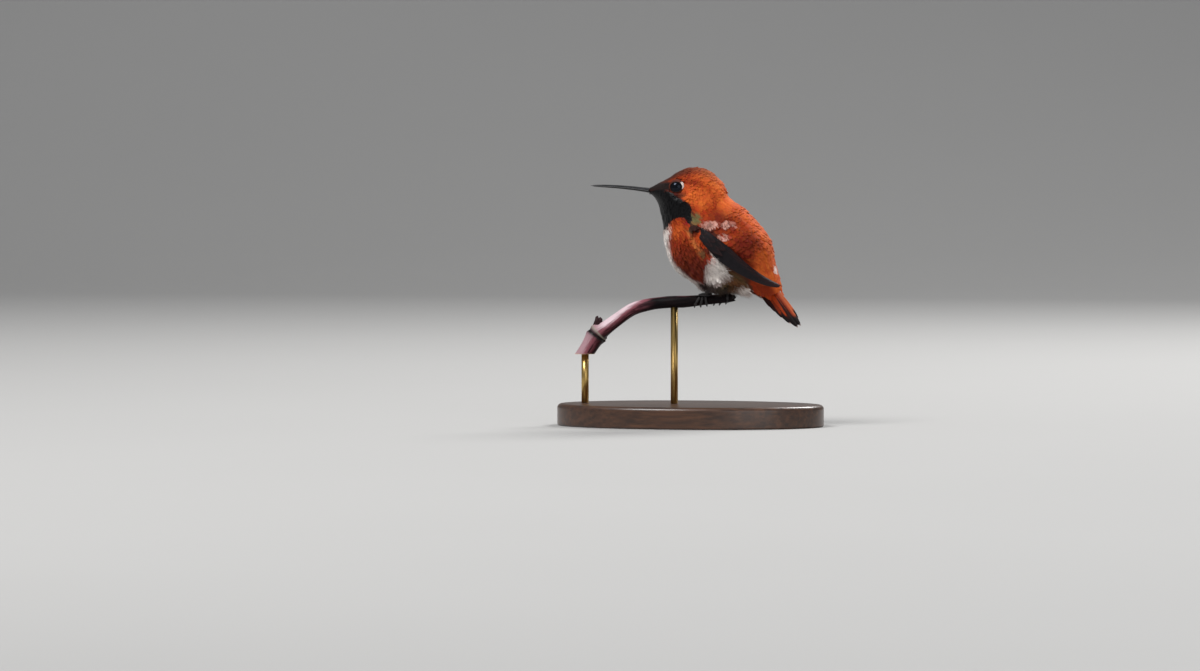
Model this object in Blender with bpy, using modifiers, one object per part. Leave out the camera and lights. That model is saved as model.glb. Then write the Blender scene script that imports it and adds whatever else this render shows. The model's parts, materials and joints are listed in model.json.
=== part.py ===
"""A male rufous hummingbird at life size, perched on the end of a cut stem above an oval display base.

The bird faces -X with its left side towards -Y, and +Z is up. The origin is the middle of the base's
underside. The head is turned a little to the bird's left and the tail is rolled towards the same side.
Lengths in the tables are millimetres, and MM brings them to metres.
"""

import math

import bmesh
import bpy
from mathutils import Matrix, Vector

MM = 0.001
GAP = 0.06  # between pieces that touch
CUT_GAP = 0.10  # where the body is parted
LEFT, RIGHT = -1, 1

# Display base and rods
BASE_LENGTH, BASE_WIDTH, BASE_HEIGHT, BASE_EDGE = 74.0, 46.0, 6.0, 1.2
ROD_RADIUS = 1.0
FRONT_ROD_X, REAR_ROD_X = -29.4, -4.5

# Perch: the stretch under the feet is straight, and the rest bends down to a swollen joint and a level cut
GRIP_START, GRIP_END = Vector((-2.0, 0, 34.05)), Vector((12.2, 0, 35.2))
GRIP_START_RADIUS, GRIP_END_RADIUS = 1.6, 1.1
STEM_BEND = [  # x, y, z, radius, onwards from GRIP_START to the far end
    (-7.4, 0.3, 33.8, 1.62),
    (-12.2, 0.7, 33.1, 1.65),
    (-16.6, 0.9, 31.7, 1.70),
    (-20.4, 0.7, 29.1, 1.78),
    (-23.4, 0.3, 26.9, 1.95),
    (-26.0, 0.0, 25.0, 2.60),
    (-28.4, -0.3, 21.2, 2.25),
    (-31.2, -0.6, 17.0, 2.35),
]
STEM_CUT_Z = 19.5
BUD_LENGTH, BUD_RADIUS = 3.2, 0.95

# Body: ribs from the back's outline to the belly's, each with the half widths near the back,
# in the middle and near the belly. They are the coat's outer surface.
RIBS = [  # back x, z, belly x, z, half widths
    (-11.1, 65.1, -11.0, 63.9, 0.9, 1.0, 0.9),  # bill's root
    (-8.9, 66.3, -9.7, 62.8, 2.0, 2.4, 2.1),  # lores
    (-6.0, 67.8, -8.5, 60.6, 3.7, 4.4, 3.7),  # forehead and chin
    (-3.0, 69.7, -7.8, 58.0, 5.2, 5.6, 4.8),  # eyes
    (0.8, 70.7, -7.2, 55.3, 6.0, 6.3, 5.7),  # crown
    (5.0, 69.9, -7.0, 52.5, 6.3, 6.9, 6.9),  # back of the crown
    (8.5, 66.9, -6.7, 49.5, 6.2, 7.8, 8.3),  # nape and top of the breast
    (10.7, 63.0, -5.8, 45.7, 6.6, 9.5, 9.5),  # fold of the nape
    (14.7, 60.2, -3.9, 42.4, 8.5, 10.8, 10.0),  # mantle
    (18.9, 56.2, -0.6, 39.9, 9.8, 11.5, 9.8),  # back
    (22.0, 52.0, 2.8, 38.2, 10.0, 11.2, 9.0),  # lower back
    (23.1, 47.6, 7.2, 37.5, 8.8, 9.9, 7.4),  # loins and belly
    (23.9, 43.7, 12.0, 37.2, 6.9, 7.6, 5.4),  # rump and vent
    (25.0, 39.6, 16.7, 36.4, 4.8, 5.2, 3.8),  # tail coverts
    (25.9, 36.9, 19.9, 34.7, 3.0, 3.2, 2.2),  # ends of the coverts
]
RIBS_LONG, RIBS_ROUND = 28, 20
PARTING_HUB = (1.9, 56.1)  # the cuts between head, neck, trunk, breast and throat meet here
SECTORS = {  # each part of the body between two directions from the hub, in degrees from +X towards +Z
    "head": (38.0, 147.0),
    "gorget": (147.0, 204.0),
    "breast": (204.0, 270.0),
    "trunk": (270.0, 360.0),
    "neck": (0.0, 38.0),
}
RUMP_CUT, RUMP_CUT_DEG = (18.0, 41.0), 52.0  # a point on the cut, and the direction the rump lies in, down from +X

# Turn of the head and roll of the tail
HEAD_TURN, HEAD_PIVOT, HEAD_REACH = math.radians(12), Vector((6, 0, 56)), 11.0
HEAD_WAY = Vector((-0.64, 0, 0.77))
TAIL_ROLL, TAIL_REACH = math.radians(30), 14.0
TAIL_ROOT, TAIL_TIP = Vector((17.9, 0, 43.3)), Vector((30.3, 0, 27.3))

# Bill
BILL_ROOT, BILL_TIP = Vector((-11.2, 0, 64.6)), Vector((-27.2, 0, 66.0))
BILL_BOW, BILL_WIDTH, BILL_DEPTH, BILL_STEPS = 0.3, 0.95, 0.66, 10
LOWER_BILL_SHORT = 0.5

# Eyes
EYE_RADIUS, EYE_AT = 2.2, Vector((-3.55, 3.9, 65.4))

# Wings: the middle line of the folded left wing, with its half width, half thickness and outward lean in degrees
WING_LINE = [  # x, distance from the middle plane, z, half width, half thickness, lean
    (1.6, 9.7, 55.0, 1.3, 0.65, 0),
    (4.3, 10.6, 52.4, 2.2, 0.80, 4),
    (7.8, 11.2, 49.2, 2.5, 0.80, 10),
    (11.6, 10.9, 46.0, 2.6, 0.72, 18),
    (16.0, 9.3, 43.0, 2.3, 0.62, 28),
    (20.2, 6.9, 40.7, 1.7, 0.50, 38),
    (23.4, 4.9, 39.2, 0.9, 0.38, 46),
    (25.6, 3.4, 38.4, 0.25, 0.27, 50),
]
WING_PARTING = 0.36  # share of the wing's length that the coverts cover
WING_STEPS, VISIBLE_QUILLS, QUILL_STEP = 14, 3, 0.12

# Tail: five pairs of feathers, the middle pair first and on top
RECTRICES = 5
RECTRIX_LENGTHS = (20.2, 18.4, 16.2, 14.0, 12.2)
RECTRIX_WIDTHS = (3.8, 3.6, 3.4, 3.1, 2.8)
RECTRIX_FAN, RECTRIX_FAN_START = math.radians(3.5), math.radians(1.5)
RECTRIX_THICK, RECTRIX_DROP = 0.55, 0.12
COVERT_CUT = -0.4  # the coverts above and below the tail part inside its thickness

# Legs and feet
THIGH_AT, THIGH_RADII, THIGH_LEAN = Vector((8.2, 6.4, 41.6)), (3.0, 3.7, 4.0), math.radians(-14)
KNEE_AT = Vector((8.8, 4.2, 39.6))
LEFT_FOOT_X, RIGHT_FOOT_X = 4.6, 9.6
FOOT_LEAN = math.radians(38)  # how far down its side of the stem a foot sits
TARSUS_RADIUS, TOE_RADIUS, CLAW_RADIUS = 0.42, 0.34, 0.24
TOES = [  # start along the stem, shift along it, angle at the start, angle at the tip
    (0.95, 0.1, 8.0, -104.0),  # hind toe, over the top to the other side
    (0.0, 0.2, 66.0, 134.0),
    (-0.82, -0.7, 66.0, 142.0),
    (-1.64, -1.5, 64.0, 130.0),
]
CLAW_TURN = 44.0

COLOURS = {  # base colour, roughness, metallic
    "rufous": ((0.62, 0.17, 0.045), 0.75, 0.0),
    "gorget": ((0.02, 0.015, 0.015), 0.45, 0.0),
    "breast": ((0.50, 0.16, 0.07), 0.80, 0.0),
    "down": ((0.78, 0.74, 0.70), 0.90, 0.0),
    "flight": ((0.05, 0.04, 0.045), 0.55, 0.0),
    "bill": ((0.012, 0.012, 0.014), 0.35, 0.0),
    "eye": ((0.010, 0.007, 0.006), 0.08, 0.0),
    "leg": ((0.030, 0.025, 0.025), 0.60, 0.0),
    "bark": ((0.30, 0.10, 0.10), 0.55, 0.0),
    "base": ((0.10, 0.055, 0.030), 0.35, 0.0),
    "rod": ((0.55, 0.42, 0.22), 0.25, 1.0),
}


def clear_scene():
    for obj in list(bpy.data.objects):
        bpy.data.objects.remove(obj)


def new_collection(name):
    made = bpy.data.collections.new(name)
    bpy.context.scene.collection.children.link(made)
    return made


def finish_of(name):
    """The material of that name, made once."""
    found = bpy.data.materials.get(name)
    if found:
        return found
    colour, roughness, metallic = COLOURS[name]
    made = bpy.data.materials.new(name)
    made.use_nodes = True
    shader = made.node_tree.nodes["Principled BSDF"]
    shader.inputs["Base Color"].default_value = (*colour, 1)
    shader.inputs["Roughness"].default_value = roughness
    shader.inputs["Metallic"].default_value = metallic
    return made


def add_object(name, mesh, finish, collection):
    obj = bpy.data.objects.new(name, mesh)
    collection.objects.link(obj)
    mesh.materials.clear()
    mesh.materials.append(finish_of(finish))
    mesh.shade_smooth()
    mesh.set_sharp_from_angle(angle=math.radians(35))
    return obj


def helper(mesh, name="helper"):
    """An object that only cuts or guides."""
    obj = bpy.data.objects.new(name, mesh)
    cutters.objects.link(obj)
    obj.hide_render = True
    obj.display_type = "WIRE"
    return obj


def evaluated_mesh(obj):
    graph = bpy.context.evaluated_depsgraph_get()
    mesh = bpy.data.meshes.new_from_object(obj.evaluated_get(graph), depsgraph=graph)
    mesh.transform(obj.matrix_world)
    return mesh


def triangulated(mesh):
    """The mesh with flat faces only, as a Boolean wants them."""
    made = bmesh.new()
    made.from_mesh(mesh)
    bmesh.ops.triangulate(made, faces=made.faces)
    made.to_mesh(mesh)
    made.free()
    return mesh


def combine(mesh, others, operation):
    """mesh after that Boolean with each of the other meshes."""
    work = helper(triangulated(mesh))
    guests = []
    for other in others:
        guest = helper(triangulated(other))
        guests.append(guest)
        modifier = work.modifiers.new(operation, "BOOLEAN")
        modifier.operation = operation
        modifier.solver = "EXACT"
        modifier.object = guest
    bpy.context.view_layer.update()
    made = evaluated_mesh(work)
    for obj in (work, *guests):
        bpy.data.objects.remove(obj)
    return made


def blend(values, share):
    """Catmull-Rom through equally spaced tuples, share running from 0 to 1."""
    last = len(values) - 1
    place = min(max(share, 0.0), 1.0) * last
    i = min(int(place), last - 1)
    t = place - i
    before, start = values[max(i - 1, 0)], values[i]
    end, after = values[i + 1], values[min(i + 2, last)]
    return tuple(
        0.5 * (2 * b + (c - a) * t + (2 * a - 5 * b + 4 * c - d) * t**2 + (3 * b - a - 3 * c + d) * t**3)
        for a, b, c, d in zip(before, start, end, after)
    )


def largest_body(mesh):
    """The mesh without the small flakes that a cut may leave, joined to its main body by no more than an edge."""
    made = bmesh.new()
    made.from_mesh(mesh)
    left = set(made.faces)
    bodies = []
    while left:
        rim = {left.pop()}
        body = set(rim)
        while rim:
            joints = {edge for face in rim for edge in face.edges if len(edge.link_faces) == 2}
            rim = {face for edge in joints for face in edge.link_faces} - body
            body |= rim
        left -= body
        bodies.append(body)
    kept = max(bodies, key=len)
    bmesh.ops.delete(made, geom=[face for face in made.faces if face not in kept], context="FACES")
    made.to_mesh(mesh)
    made.free()
    return mesh


def smooth_step(value):
    value = min(max(value, 0.0), 1.0)
    return value * value * (3 - 2 * value)


def rolled(point):
    """A point of the straight bird, after the tail's roll."""
    along = (TAIL_TIP - TAIL_ROOT).normalized()
    share = smooth_step((point - TAIL_ROOT).dot(along) / TAIL_REACH + 0.5)
    return TAIL_ROOT + Matrix.Rotation(TAIL_ROLL * share, 3, along) @ (point - TAIL_ROOT)


def posed(point):
    """A point of the straight bird, after the head's turn and the tail's roll."""
    share = smooth_step((point - HEAD_PIVOT).dot(HEAD_WAY) / HEAD_REACH)
    turn = Matrix.Rotation(HEAD_TURN * share, 3, "Z")
    return HEAD_PIVOT + turn @ (point - HEAD_PIVOT) if share else rolled(point)


def loft(rings, closed_ends=True):
    """A mesh skinned over rings of points, in metres. A ring of one point is a tip."""
    made = bmesh.new()
    rows = [[made.verts.new(p * MM) for p in ring] for ring in rings]
    for one, two in zip(rows, rows[1:]):
        count = max(len(one), len(two))
        for i in range(count):
            j = (i + 1) % count
            corners = [one[i % len(one)], one[j % len(one)], two[j % len(two)], two[i % len(two)]]
            made.faces.new(list(dict.fromkeys(corners)))
    if closed_ends:
        for row in (rows[0], rows[-1]):
            if len(row) > 2:
                made.faces.new(row)
    bmesh.ops.recalc_face_normals(made, faces=made.faces)
    mesh = bpy.data.meshes.new("loft")
    made.to_mesh(mesh)
    made.free()
    return mesh


def rib_ring(share, count=RIBS_ROUND):
    """The body's section at that share of its length, as points of the straight bird."""
    back_x, back_z, belly_x, belly_z, high, middle, low = blend(RIBS, share)
    ring = []
    for i in range(count):
        angle = 2 * math.pi * i / count
        down = 0.5 - 0.5 * math.cos(angle)
        bulge = high * (1 - down) * (1 - 2 * down) + 4 * middle * down * (1 - down) + low * down * (2 * down - 1)
        wide = math.sin(angle) * bulge
        ring.append(Vector((back_x + (belly_x - back_x) * down, wide, back_z + (belly_z - back_z) * down)))
    return ring


def body_mesh():
    rings = [rib_ring(i / (RIBS_LONG - 1)) for i in range(RIBS_LONG)]
    return loft([[posed(p) for p in ring] for ring in rings])


def prism(corners, half_depth=40.0):
    """A wall through the bird, from a convex outline in the XZ plane."""
    return loft([[Vector((x, y, z)) for x, z in corners] for y in (-half_depth, half_depth)])


def sector_prism(start, end, far=70.0):
    """Everything between two directions from the hub, less half of the cut's gap on each side."""
    half = math.radians(end - start) / 2
    middle = math.radians(start) + half
    shift = CUT_GAP / 2 / math.sin(half)
    hub = (PARTING_HUB[0] + shift * math.cos(middle), PARTING_HUB[1] + shift * math.sin(middle))
    reach = [middle - half, middle, middle + half]
    rim = [(hub[0] + far * math.cos(a) * s, hub[1] + far * math.sin(a) * s) for a, s in zip(reach, (1, 1.5, 1))]
    return prism([hub, *rim])


def rump_prism(side, far=60.0):
    """The half of the bird before (-1) or beyond (+1) the rump's cut."""
    way = Vector((math.cos(math.radians(RUMP_CUT_DEG)), 0, -math.sin(math.radians(RUMP_CUT_DEG))))
    across = Vector((way.z, 0, -way.x))
    near = Vector((RUMP_CUT[0], 0, RUMP_CUT[1])) + way * side * CUT_GAP / 2
    corners = [near + across * far, near - across * far]
    corners += [corners[1] + way * side * far, corners[0] + way * side * far]
    return prism([(p.x, p.z) for p in corners])


def above_tail(lift, far=18.0, steps=18):
    """Everything above the surface that the tail feathers lie in, starting that much higher."""
    along = (TAIL_TIP - TAIL_ROOT).normalized()
    above = Vector((-along.z, 0, along.x))
    rings = []
    for i in range(steps + 1):
        middle = TAIL_ROOT + along * far * (2 * i / steps - 1)
        corners = [(-far, lift), (0, lift), (far, lift), (far, far), (-far, far)]
        rings.append([rolled(middle + Vector((0, across, 0)) + above * rise) for across, rise in corners])
    return loft(rings)


def ball(centre, radii, lean, segments, rings):
    """An ellipsoid, leaning forwards by that angle, as a mesh in metres."""
    made = bmesh.new()
    bmesh.ops.create_uvsphere(made, u_segments=segments, v_segments=rings, radius=1)
    place = Matrix.Translation(centre * MM) @ Matrix.Rotation(lean, 4, "Y")
    place @= Matrix.Diagonal((*[r * MM for r in radii], 1))
    bmesh.ops.transform(made, matrix=place, verts=made.verts)
    mesh = bpy.data.meshes.new("ball")
    made.to_mesh(mesh)
    made.free()
    return mesh


def tube(points, radii, sides=10):
    """A round bar along points, from a curve with filled caps, as one closed mesh in metres."""
    curve = bpy.data.curves.new("tube", "CURVE")
    curve.dimensions = "3D"
    curve.bevel_depth = MM
    curve.bevel_resolution = max(sides // 2 - 2, 0)
    curve.use_fill_caps = True
    spline = curve.splines.new("POLY")
    spline.points.add(len(points) - 1)
    for place, point, radius in zip(spline.points, points, radii):
        place.co = (*(point * MM), 1)
        place.radius = radius
    bar = helper(curve)
    bpy.context.view_layer.update()
    mesh = evaluated_mesh(bar)
    bpy.data.objects.remove(bar)
    welded = bmesh.new()
    welded.from_mesh(mesh)
    bmesh.ops.remove_doubles(welded, verts=welded.verts, dist=1e-6)
    bmesh.ops.recalc_face_normals(welded, faces=welded.faces)
    welded.to_mesh(mesh)
    welded.free()
    return mesh


def wing_ring(share, side, grow):
    """A section of the folded wing: a flat lens set square to the wing's line, stepped where quills overlap."""
    x, out, z, half_width, half_thick, lean = blend(WING_LINE, share)
    step = 0.01
    ahead, behind = blend(WING_LINE, share + step), blend(WING_LINE, share - step)
    along = Vector([a - b for a, b in zip(ahead[:3], behind[:3])]).normalized()
    upwards = Vector((-along.z, 0, along.x)).normalized()
    outwards = Vector((0, math.cos(math.radians(lean)), 0)) + upwards * math.sin(math.radians(lean))
    outwards = (outwards - along * outwards.dot(along)).normalized()
    across = along.cross(outwards)
    outline = [(-0.55, -0.85), (-1.0, -0.15)]
    for quill in range(VISIBLE_QUILLS):
        for share, ridge in ((0.0, 0.0), (0.97, QUILL_STEP / half_thick)):
            wide = 2 * (quill + share) / VISIBLE_QUILLS - 1
            outline.append((0.96 * wide, 0.15 + 0.85 * math.sqrt(1 - 0.8 * wide * wide) - ridge + share * 0.02))
    outline += [(1.0, -0.15), (0.55, -0.85)]
    ring = []
    for wide, high in outline:
        point = Vector((x, out, z)) + across * (half_width + grow) * wide
        point += outwards * (half_thick + grow) * high
        ring.append(Vector((point.x, point.y * side, point.z)))
    return ring


def wing_mesh(side, start, end, grow=0.0):
    steps = max(round(WING_STEPS * (end - start)), 4)
    shares = [start + (end - start) * i / steps for i in range(steps + 1)]
    return loft([wing_ring(share, side, grow) for share in shares])


def rectrix_edge(pair, distance):
    """How far from the tail's middle a feather's outer edge lies: slim at the root, then broad, then a blunt tip."""
    length, width = RECTRIX_LENGTHS[pair], RECTRIX_WIDTHS[pair]
    share = distance / length
    swell = 0.6 + 0.4 * smooth_step(share / 0.5)
    blunt = math.sqrt(max(1 - (max(share - 0.60, 0.0) / 0.40) ** 1.9, 0.0))
    fan = math.sin(RECTRIX_FAN_START + RECTRIX_FAN * pair)
    return distance * fan * (1 if share < 1 else 0) + width / 2 * swell * blunt


def tail_ring(distance, grow):
    """A section of the tail: each pair of feathers is one step lower than the pair inside it."""
    edges = []
    for pair in range(RECTRICES):
        inner = edges[-1] if edges else 0.12
        edges.append(max(rectrix_edge(pair, min(max(distance, 0), RECTRIX_LENGTHS[0])), inner + 0.05))
    top = RECTRIX_THICK / 2 + grow
    half = []
    for pair, edge in enumerate(edges):
        half.append((edge + grow, top - RECTRIX_DROP * pair))
        if pair < RECTRICES - 1:
            half.append((edge + grow, top - RECTRIX_DROP * (pair + 1)))
    low = top - RECTRIX_DROP * (RECTRICES - 1) - RECTRIX_THICK - 2 * grow
    half.append((edges[-1] + grow, low))
    half.append((edges[-1] * 0.5 + grow, low + RECTRIX_DROP * 1.5))
    along = (TAIL_TIP - TAIL_ROOT).normalized()
    above = Vector((-along.z, 0, along.x))
    line = half + [(-across, rise) for across, rise in reversed(half)]
    return [rolled(TAIL_ROOT + along * distance + Vector((0, across, 0)) + above * rise) for across, rise in line]


def tail_mesh(grow=0.0):
    stations = [0, 3, 6, 8.5, 10.5, 11.6, 12.2, 13, 13.8, 14.8, 15.8, 16.4, 17.3, 18.2, 19, 19.7, 20.2]
    stations[0] -= grow
    stations[-1] += grow
    return loft([tail_ring(distance, grow) for distance in stations])


def bill_mesh(upper):
    """One mandible: flat where the two meet, round outside, running to a fine tip."""
    rings = []
    sides = 6
    for i in range(BILL_STEPS + 1):
        share = i / BILL_STEPS
        slim = (1 - 0.52 * share ** 0.7) * math.sqrt(max(1 - share**9, 0.02))
        reach = share * (1 if upper else 1 - LOWER_BILL_SHORT / (BILL_TIP - BILL_ROOT).length)
        middle = BILL_ROOT.lerp(BILL_TIP, reach) + Vector((0, 0, BILL_BOW * 4 * reach * (1 - reach)))
        wide = BILL_WIDTH * (1 - 0.35 * smooth_step(share * 2)) * slim
        deep = BILL_DEPTH * slim * (1.1 if upper else 0.85)
        ring = []
        for k in range(sides + 1):
            angle = math.pi * k / sides
            rise = (GAP / 2 + deep * math.sin(angle)) * (1 if upper else -1)
            ring.append(posed(middle + Vector((0, wide * math.cos(angle), rise))))
        rings.append(ring)
    return loft(rings)


def grip_at(x):
    """The stem's middle and radius under the feet."""
    share = (x - GRIP_START.x) / (GRIP_END.x - GRIP_START.x)
    return GRIP_START.lerp(GRIP_END, share), GRIP_START_RADIUS + share * (GRIP_END_RADIUS - GRIP_START_RADIUS)


def on_stem(x, degrees, side, clear):
    """A point that far off the stem's surface, at an angle from its top towards that side."""
    middle, radius = grip_at(x)
    angle = math.radians(degrees)
    return middle + Vector((0, side * math.sin(angle), math.cos(angle))) * (radius + clear)


def toe_meshes(side, foot_x, toe):
    """(toe, claw): a toe wound round the stem, and the hooked claw at its end."""
    start, shift, angle_start, angle_end = toe
    steps = 6
    lines = {"toe": [], "claw": []}
    turn = CLAW_TURN if angle_end > 0 else -CLAW_TURN
    for i in range(steps + 1):
        share = i / steps
        bend = angle_start + (angle_end - angle_start) * share
        knuckle = 0.05 * math.sin(share * 3 * math.pi) ** 2
        x = foot_x + start + shift * share
        lines["toe"].append((on_stem(x, bend, side, TOE_RADIUS + GAP + 0.02), TOE_RADIUS - 0.06 * share + knuckle))
    steps = 4
    for i in range(steps + 1):
        share = i / steps
        bend = angle_end + turn * (0.22 + 0.78 * share)
        hook = TOE_RADIUS + GAP + 0.10 * math.sin(share * math.pi) - 0.08 * share
        x = foot_x + start + shift * (1 + 0.12 * share)
        lines["claw"].append((on_stem(x, bend, side, hook), CLAW_RADIUS * (1 - 0.72 * share)))
    return [tube([p for p, _ in line], [r for _, r in line], 6) for line in lines.values()]


def leg_meshes(side, foot_x, grow=0.0):
    """(shank, foot): the bare tarsus, and the pad that the toes spring from."""
    pad_at = on_stem(foot_x - 0.35, math.degrees(FOOT_LEAN), side, 0.36 + GAP + 0.02)
    knee = Vector((KNEE_AT.x, side * KNEE_AT.y, KNEE_AT.z))
    ankle = pad_at + (knee - pad_at).normalized() * 0.12
    shank = tube([knee, ankle], [TARSUS_RADIUS + grow] * 2, 8)
    middle, radius = grip_at(foot_x)
    pad = ball(pad_at, (1.75, 0.62, 0.42), 0.0, 10, 6)
    tilt = Matrix.Translation(pad_at * MM) @ Matrix.Rotation(-side * FOOT_LEAN, 4, "X") @ Matrix.Translation(-pad_at * MM)
    pad.transform(tilt)
    return shank, pad


def stem_line():
    """(points, radii) from the broken tip to below the level cut."""
    straight = [grip_at(GRIP_END.x), grip_at(GRIP_START.x)]
    points = [p for p, _ in straight]
    radii = [r for _, r in straight]
    bend = [(*GRIP_START, GRIP_START_RADIUS), *STEM_BEND]
    steps = 3 * (len(bend) - 1)
    for i in range(1, steps + 1):
        *place, radius = blend(bend, i / steps)
        points.append(Vector(place))
        radii.append(radius)
    return points, radii


def stem_mesh(grow=0.0):
    points, radii = stem_line()
    return tube(points, [r + grow for r in radii], 12)


def bud_mesh(root, way):
    """A short dry bud scale that leans out of the swollen joint."""
    way = way.normalized()
    return tube([root, root + way * BUD_LENGTH * 0.6, root + way * BUD_LENGTH],
                [BUD_RADIUS * 1.2, BUD_RADIUS, BUD_RADIUS * 0.7], 8)


def perch_mesh():
    """The stem with its two buds, cut level at the far end where the front rod holds it."""
    joint = Vector(STEM_BEND[5][:3])
    buds = [bud_mesh(joint + Vector((-0.3, 0, 1.3)), Vector((0.4, -0.25, 1.6)))]
    buds.append(bud_mesh(joint + Vector((-0.4, 0, 0.2)), Vector((1.0, 0.3, -0.75))))
    whole = combine(stem_mesh(), buds, "UNION")
    low = prism([(-60, STEM_CUT_Z), (60, STEM_CUT_Z), (60, -5), (-60, -5)])
    return combine(whole, [low], "DIFFERENCE")


def rod_mesh(x, top):
    made = bmesh.new()
    height = top - BASE_HEIGHT - GAP
    bmesh.ops.create_cone(
        made, cap_ends=True, segments=24, radius1=ROD_RADIUS * MM, radius2=ROD_RADIUS * MM, depth=height * MM
    )
    middle = Vector((x, stem_y(x), BASE_HEIGHT + GAP + height / 2))
    bmesh.ops.translate(made, vec=middle * MM, verts=made.verts)
    mesh = bpy.data.meshes.new("rod")
    made.to_mesh(mesh)
    made.free()
    return mesh


def stem_y(x):
    """How far the stem's middle lies from the bird's middle plane there."""
    points, _ = stem_line()
    return min(points, key=lambda p: abs(p.x - x)).y


def build_stand():
    bpy.ops.mesh.primitive_cylinder_add(vertices=44, radius=0.5, depth=1)
    base = bpy.context.object
    base.name = "stand_base"
    base.location = (0, 0, BASE_HEIGHT / 2 * MM)
    base.scale = (BASE_LENGTH * MM, BASE_WIDTH * MM, BASE_HEIGHT * MM)
    bpy.ops.object.transform_apply(location=False, rotation=False, scale=True)
    bevel = base.modifiers.new("edge", "BEVEL")
    bevel.width = BASE_EDGE * MM
    bevel.segments = 2
    bevel.limit_method = "ANGLE"
    base.data.materials.append(finish_of("base"))
    for collection in list(base.users_collection):
        collection.objects.unlink(base)
    bird.objects.link(base)
    add_object("stand_rod_front", rod_mesh(FRONT_ROD_X, STEM_CUT_Z - GAP), "rod", bird)
    saddle = combine(rod_mesh(REAR_ROD_X, GRIP_START.z), [stem_mesh(GAP)], "DIFFERENCE")
    add_object("stand_rod_rear", saddle, "rod", bird)


def build_body():
    """The body's parts, each hollowed where an eye, wing, thigh, leg or the tail sits in it."""
    guests = [eye_mesh(side, GAP) for side in (LEFT, RIGHT)]
    guests += [wing_mesh(side, 0, 1, GAP) for side in (LEFT, RIGHT)]
    guests += [thigh_mesh(side, GAP) for side in (LEFT, RIGHT)]
    guests += [leg_meshes(LEFT, LEFT_FOOT_X, GAP)[0], leg_meshes(RIGHT, RIGHT_FOOT_X, GAP)[0]]
    guests.append(tail_mesh(GAP))
    whole = combine(body_mesh(), guests, "DIFFERENCE")
    finishes = {"head": "rufous", "gorget": "gorget", "breast": "breast", "trunk": "rufous", "neck": "rufous"}
    for name, (start, end) in SECTORS.items():
        piece = combine(whole.copy(), [sector_prism(start, end)], "INTERSECT")
        if name == "trunk":
            behind = combine(piece.copy(), [rump_prism(1)], "INTERSECT")
            rump = combine(behind.copy(), [above_tail(COVERT_CUT + CUT_GAP / 2)], "INTERSECT")
            undertail = combine(behind, [above_tail(COVERT_CUT - CUT_GAP / 2)], "DIFFERENCE")
            add_object("rump", largest_body(rump), "rufous", bird)
            add_object("undertail", largest_body(undertail), "down", bird)
            piece = combine(piece, [rump_prism(-1)], "INTERSECT")
        add_object(name, largest_body(piece), finishes[name], bird)


def eye_mesh(side, grow=0.0):
    centre = posed(Vector((EYE_AT.x, side * EYE_AT.y, EYE_AT.z)))
    return ball(centre, (EYE_RADIUS + grow,) * 3, 0.0, 16, 10)


def thigh_mesh(side, grow=0.0):
    centre = Vector((THIGH_AT.x, side * THIGH_AT.y, THIGH_AT.z))
    return ball(centre, [r + grow for r in THIGH_RADII], THIGH_LEAN, 14, 8)


def build_side(side, name, foot_x):
    add_object(f"eye_{name}", eye_mesh(side), "eye", bird)
    add_object(f"wing_{name}_coverts", wing_mesh(side, 0, WING_PARTING - 0.001), "flight", bird)
    add_object(f"wing_{name}_primaries", wing_mesh(side, WING_PARTING + 0.001, 1), "flight", bird)
    shank, pad = leg_meshes(side, foot_x)
    thick_shank, _ = leg_meshes(side, foot_x, GAP)
    add_object(f"thigh_{name}", combine(thigh_mesh(side), [thick_shank], "DIFFERENCE"), "down", bird)
    add_object(f"leg_{name}", combine(shank, [pad], "UNION"), "leg", bird)
    for number, toe in enumerate(TOES, 1):
        toe_mesh, claw_mesh = toe_meshes(side, foot_x, toe)
        add_object(f"toe_{name}_{number}", toe_mesh, "leg", bird)
        add_object(f"claw_{name}_{number}", claw_mesh, "leg", bird)


clear_scene()
bird = new_collection("rufous_hummingbird")
cutters = new_collection("cutters")
build_stand()
add_object("perch", perch_mesh(), "bark", bird)
build_body()
add_object("tail", tail_mesh(), "rufous", bird)
add_object("bill_upper", bill_mesh(True), "bill", bird)
add_object("bill_lower", bill_mesh(False), "bill", bird)
build_side(LEFT, "left", LEFT_FOOT_X)
build_side(RIGHT, "right", RIGHT_FOOT_X)
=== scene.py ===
import json
import math
import random

import bmesh
import bpy
import numpy as np
from mathutils import Matrix, Vector

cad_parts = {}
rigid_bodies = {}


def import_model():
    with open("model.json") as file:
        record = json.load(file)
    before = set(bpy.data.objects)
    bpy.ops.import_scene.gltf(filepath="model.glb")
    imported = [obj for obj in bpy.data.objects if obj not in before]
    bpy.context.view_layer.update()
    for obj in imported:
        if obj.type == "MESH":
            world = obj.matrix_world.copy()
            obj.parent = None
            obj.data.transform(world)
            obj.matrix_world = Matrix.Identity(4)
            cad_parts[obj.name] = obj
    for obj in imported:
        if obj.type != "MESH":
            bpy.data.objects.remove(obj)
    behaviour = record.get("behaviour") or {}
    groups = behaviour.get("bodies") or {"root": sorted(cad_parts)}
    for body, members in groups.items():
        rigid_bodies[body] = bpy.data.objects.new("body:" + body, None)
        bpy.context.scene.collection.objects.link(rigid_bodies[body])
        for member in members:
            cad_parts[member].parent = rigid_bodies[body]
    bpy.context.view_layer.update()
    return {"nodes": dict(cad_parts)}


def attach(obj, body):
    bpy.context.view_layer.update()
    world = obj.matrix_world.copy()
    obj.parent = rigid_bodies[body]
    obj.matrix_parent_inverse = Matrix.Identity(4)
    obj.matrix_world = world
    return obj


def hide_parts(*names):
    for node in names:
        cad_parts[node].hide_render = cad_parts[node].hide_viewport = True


# A male rufous hummingbird on the end of a cut stem. Lengths in the dictionaries are millimetres.
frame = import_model()
nodes = frame["nodes"]
mm = 0.001
left, right = -1, 1
sideWords = {left: "left", right: "right"}
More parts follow.
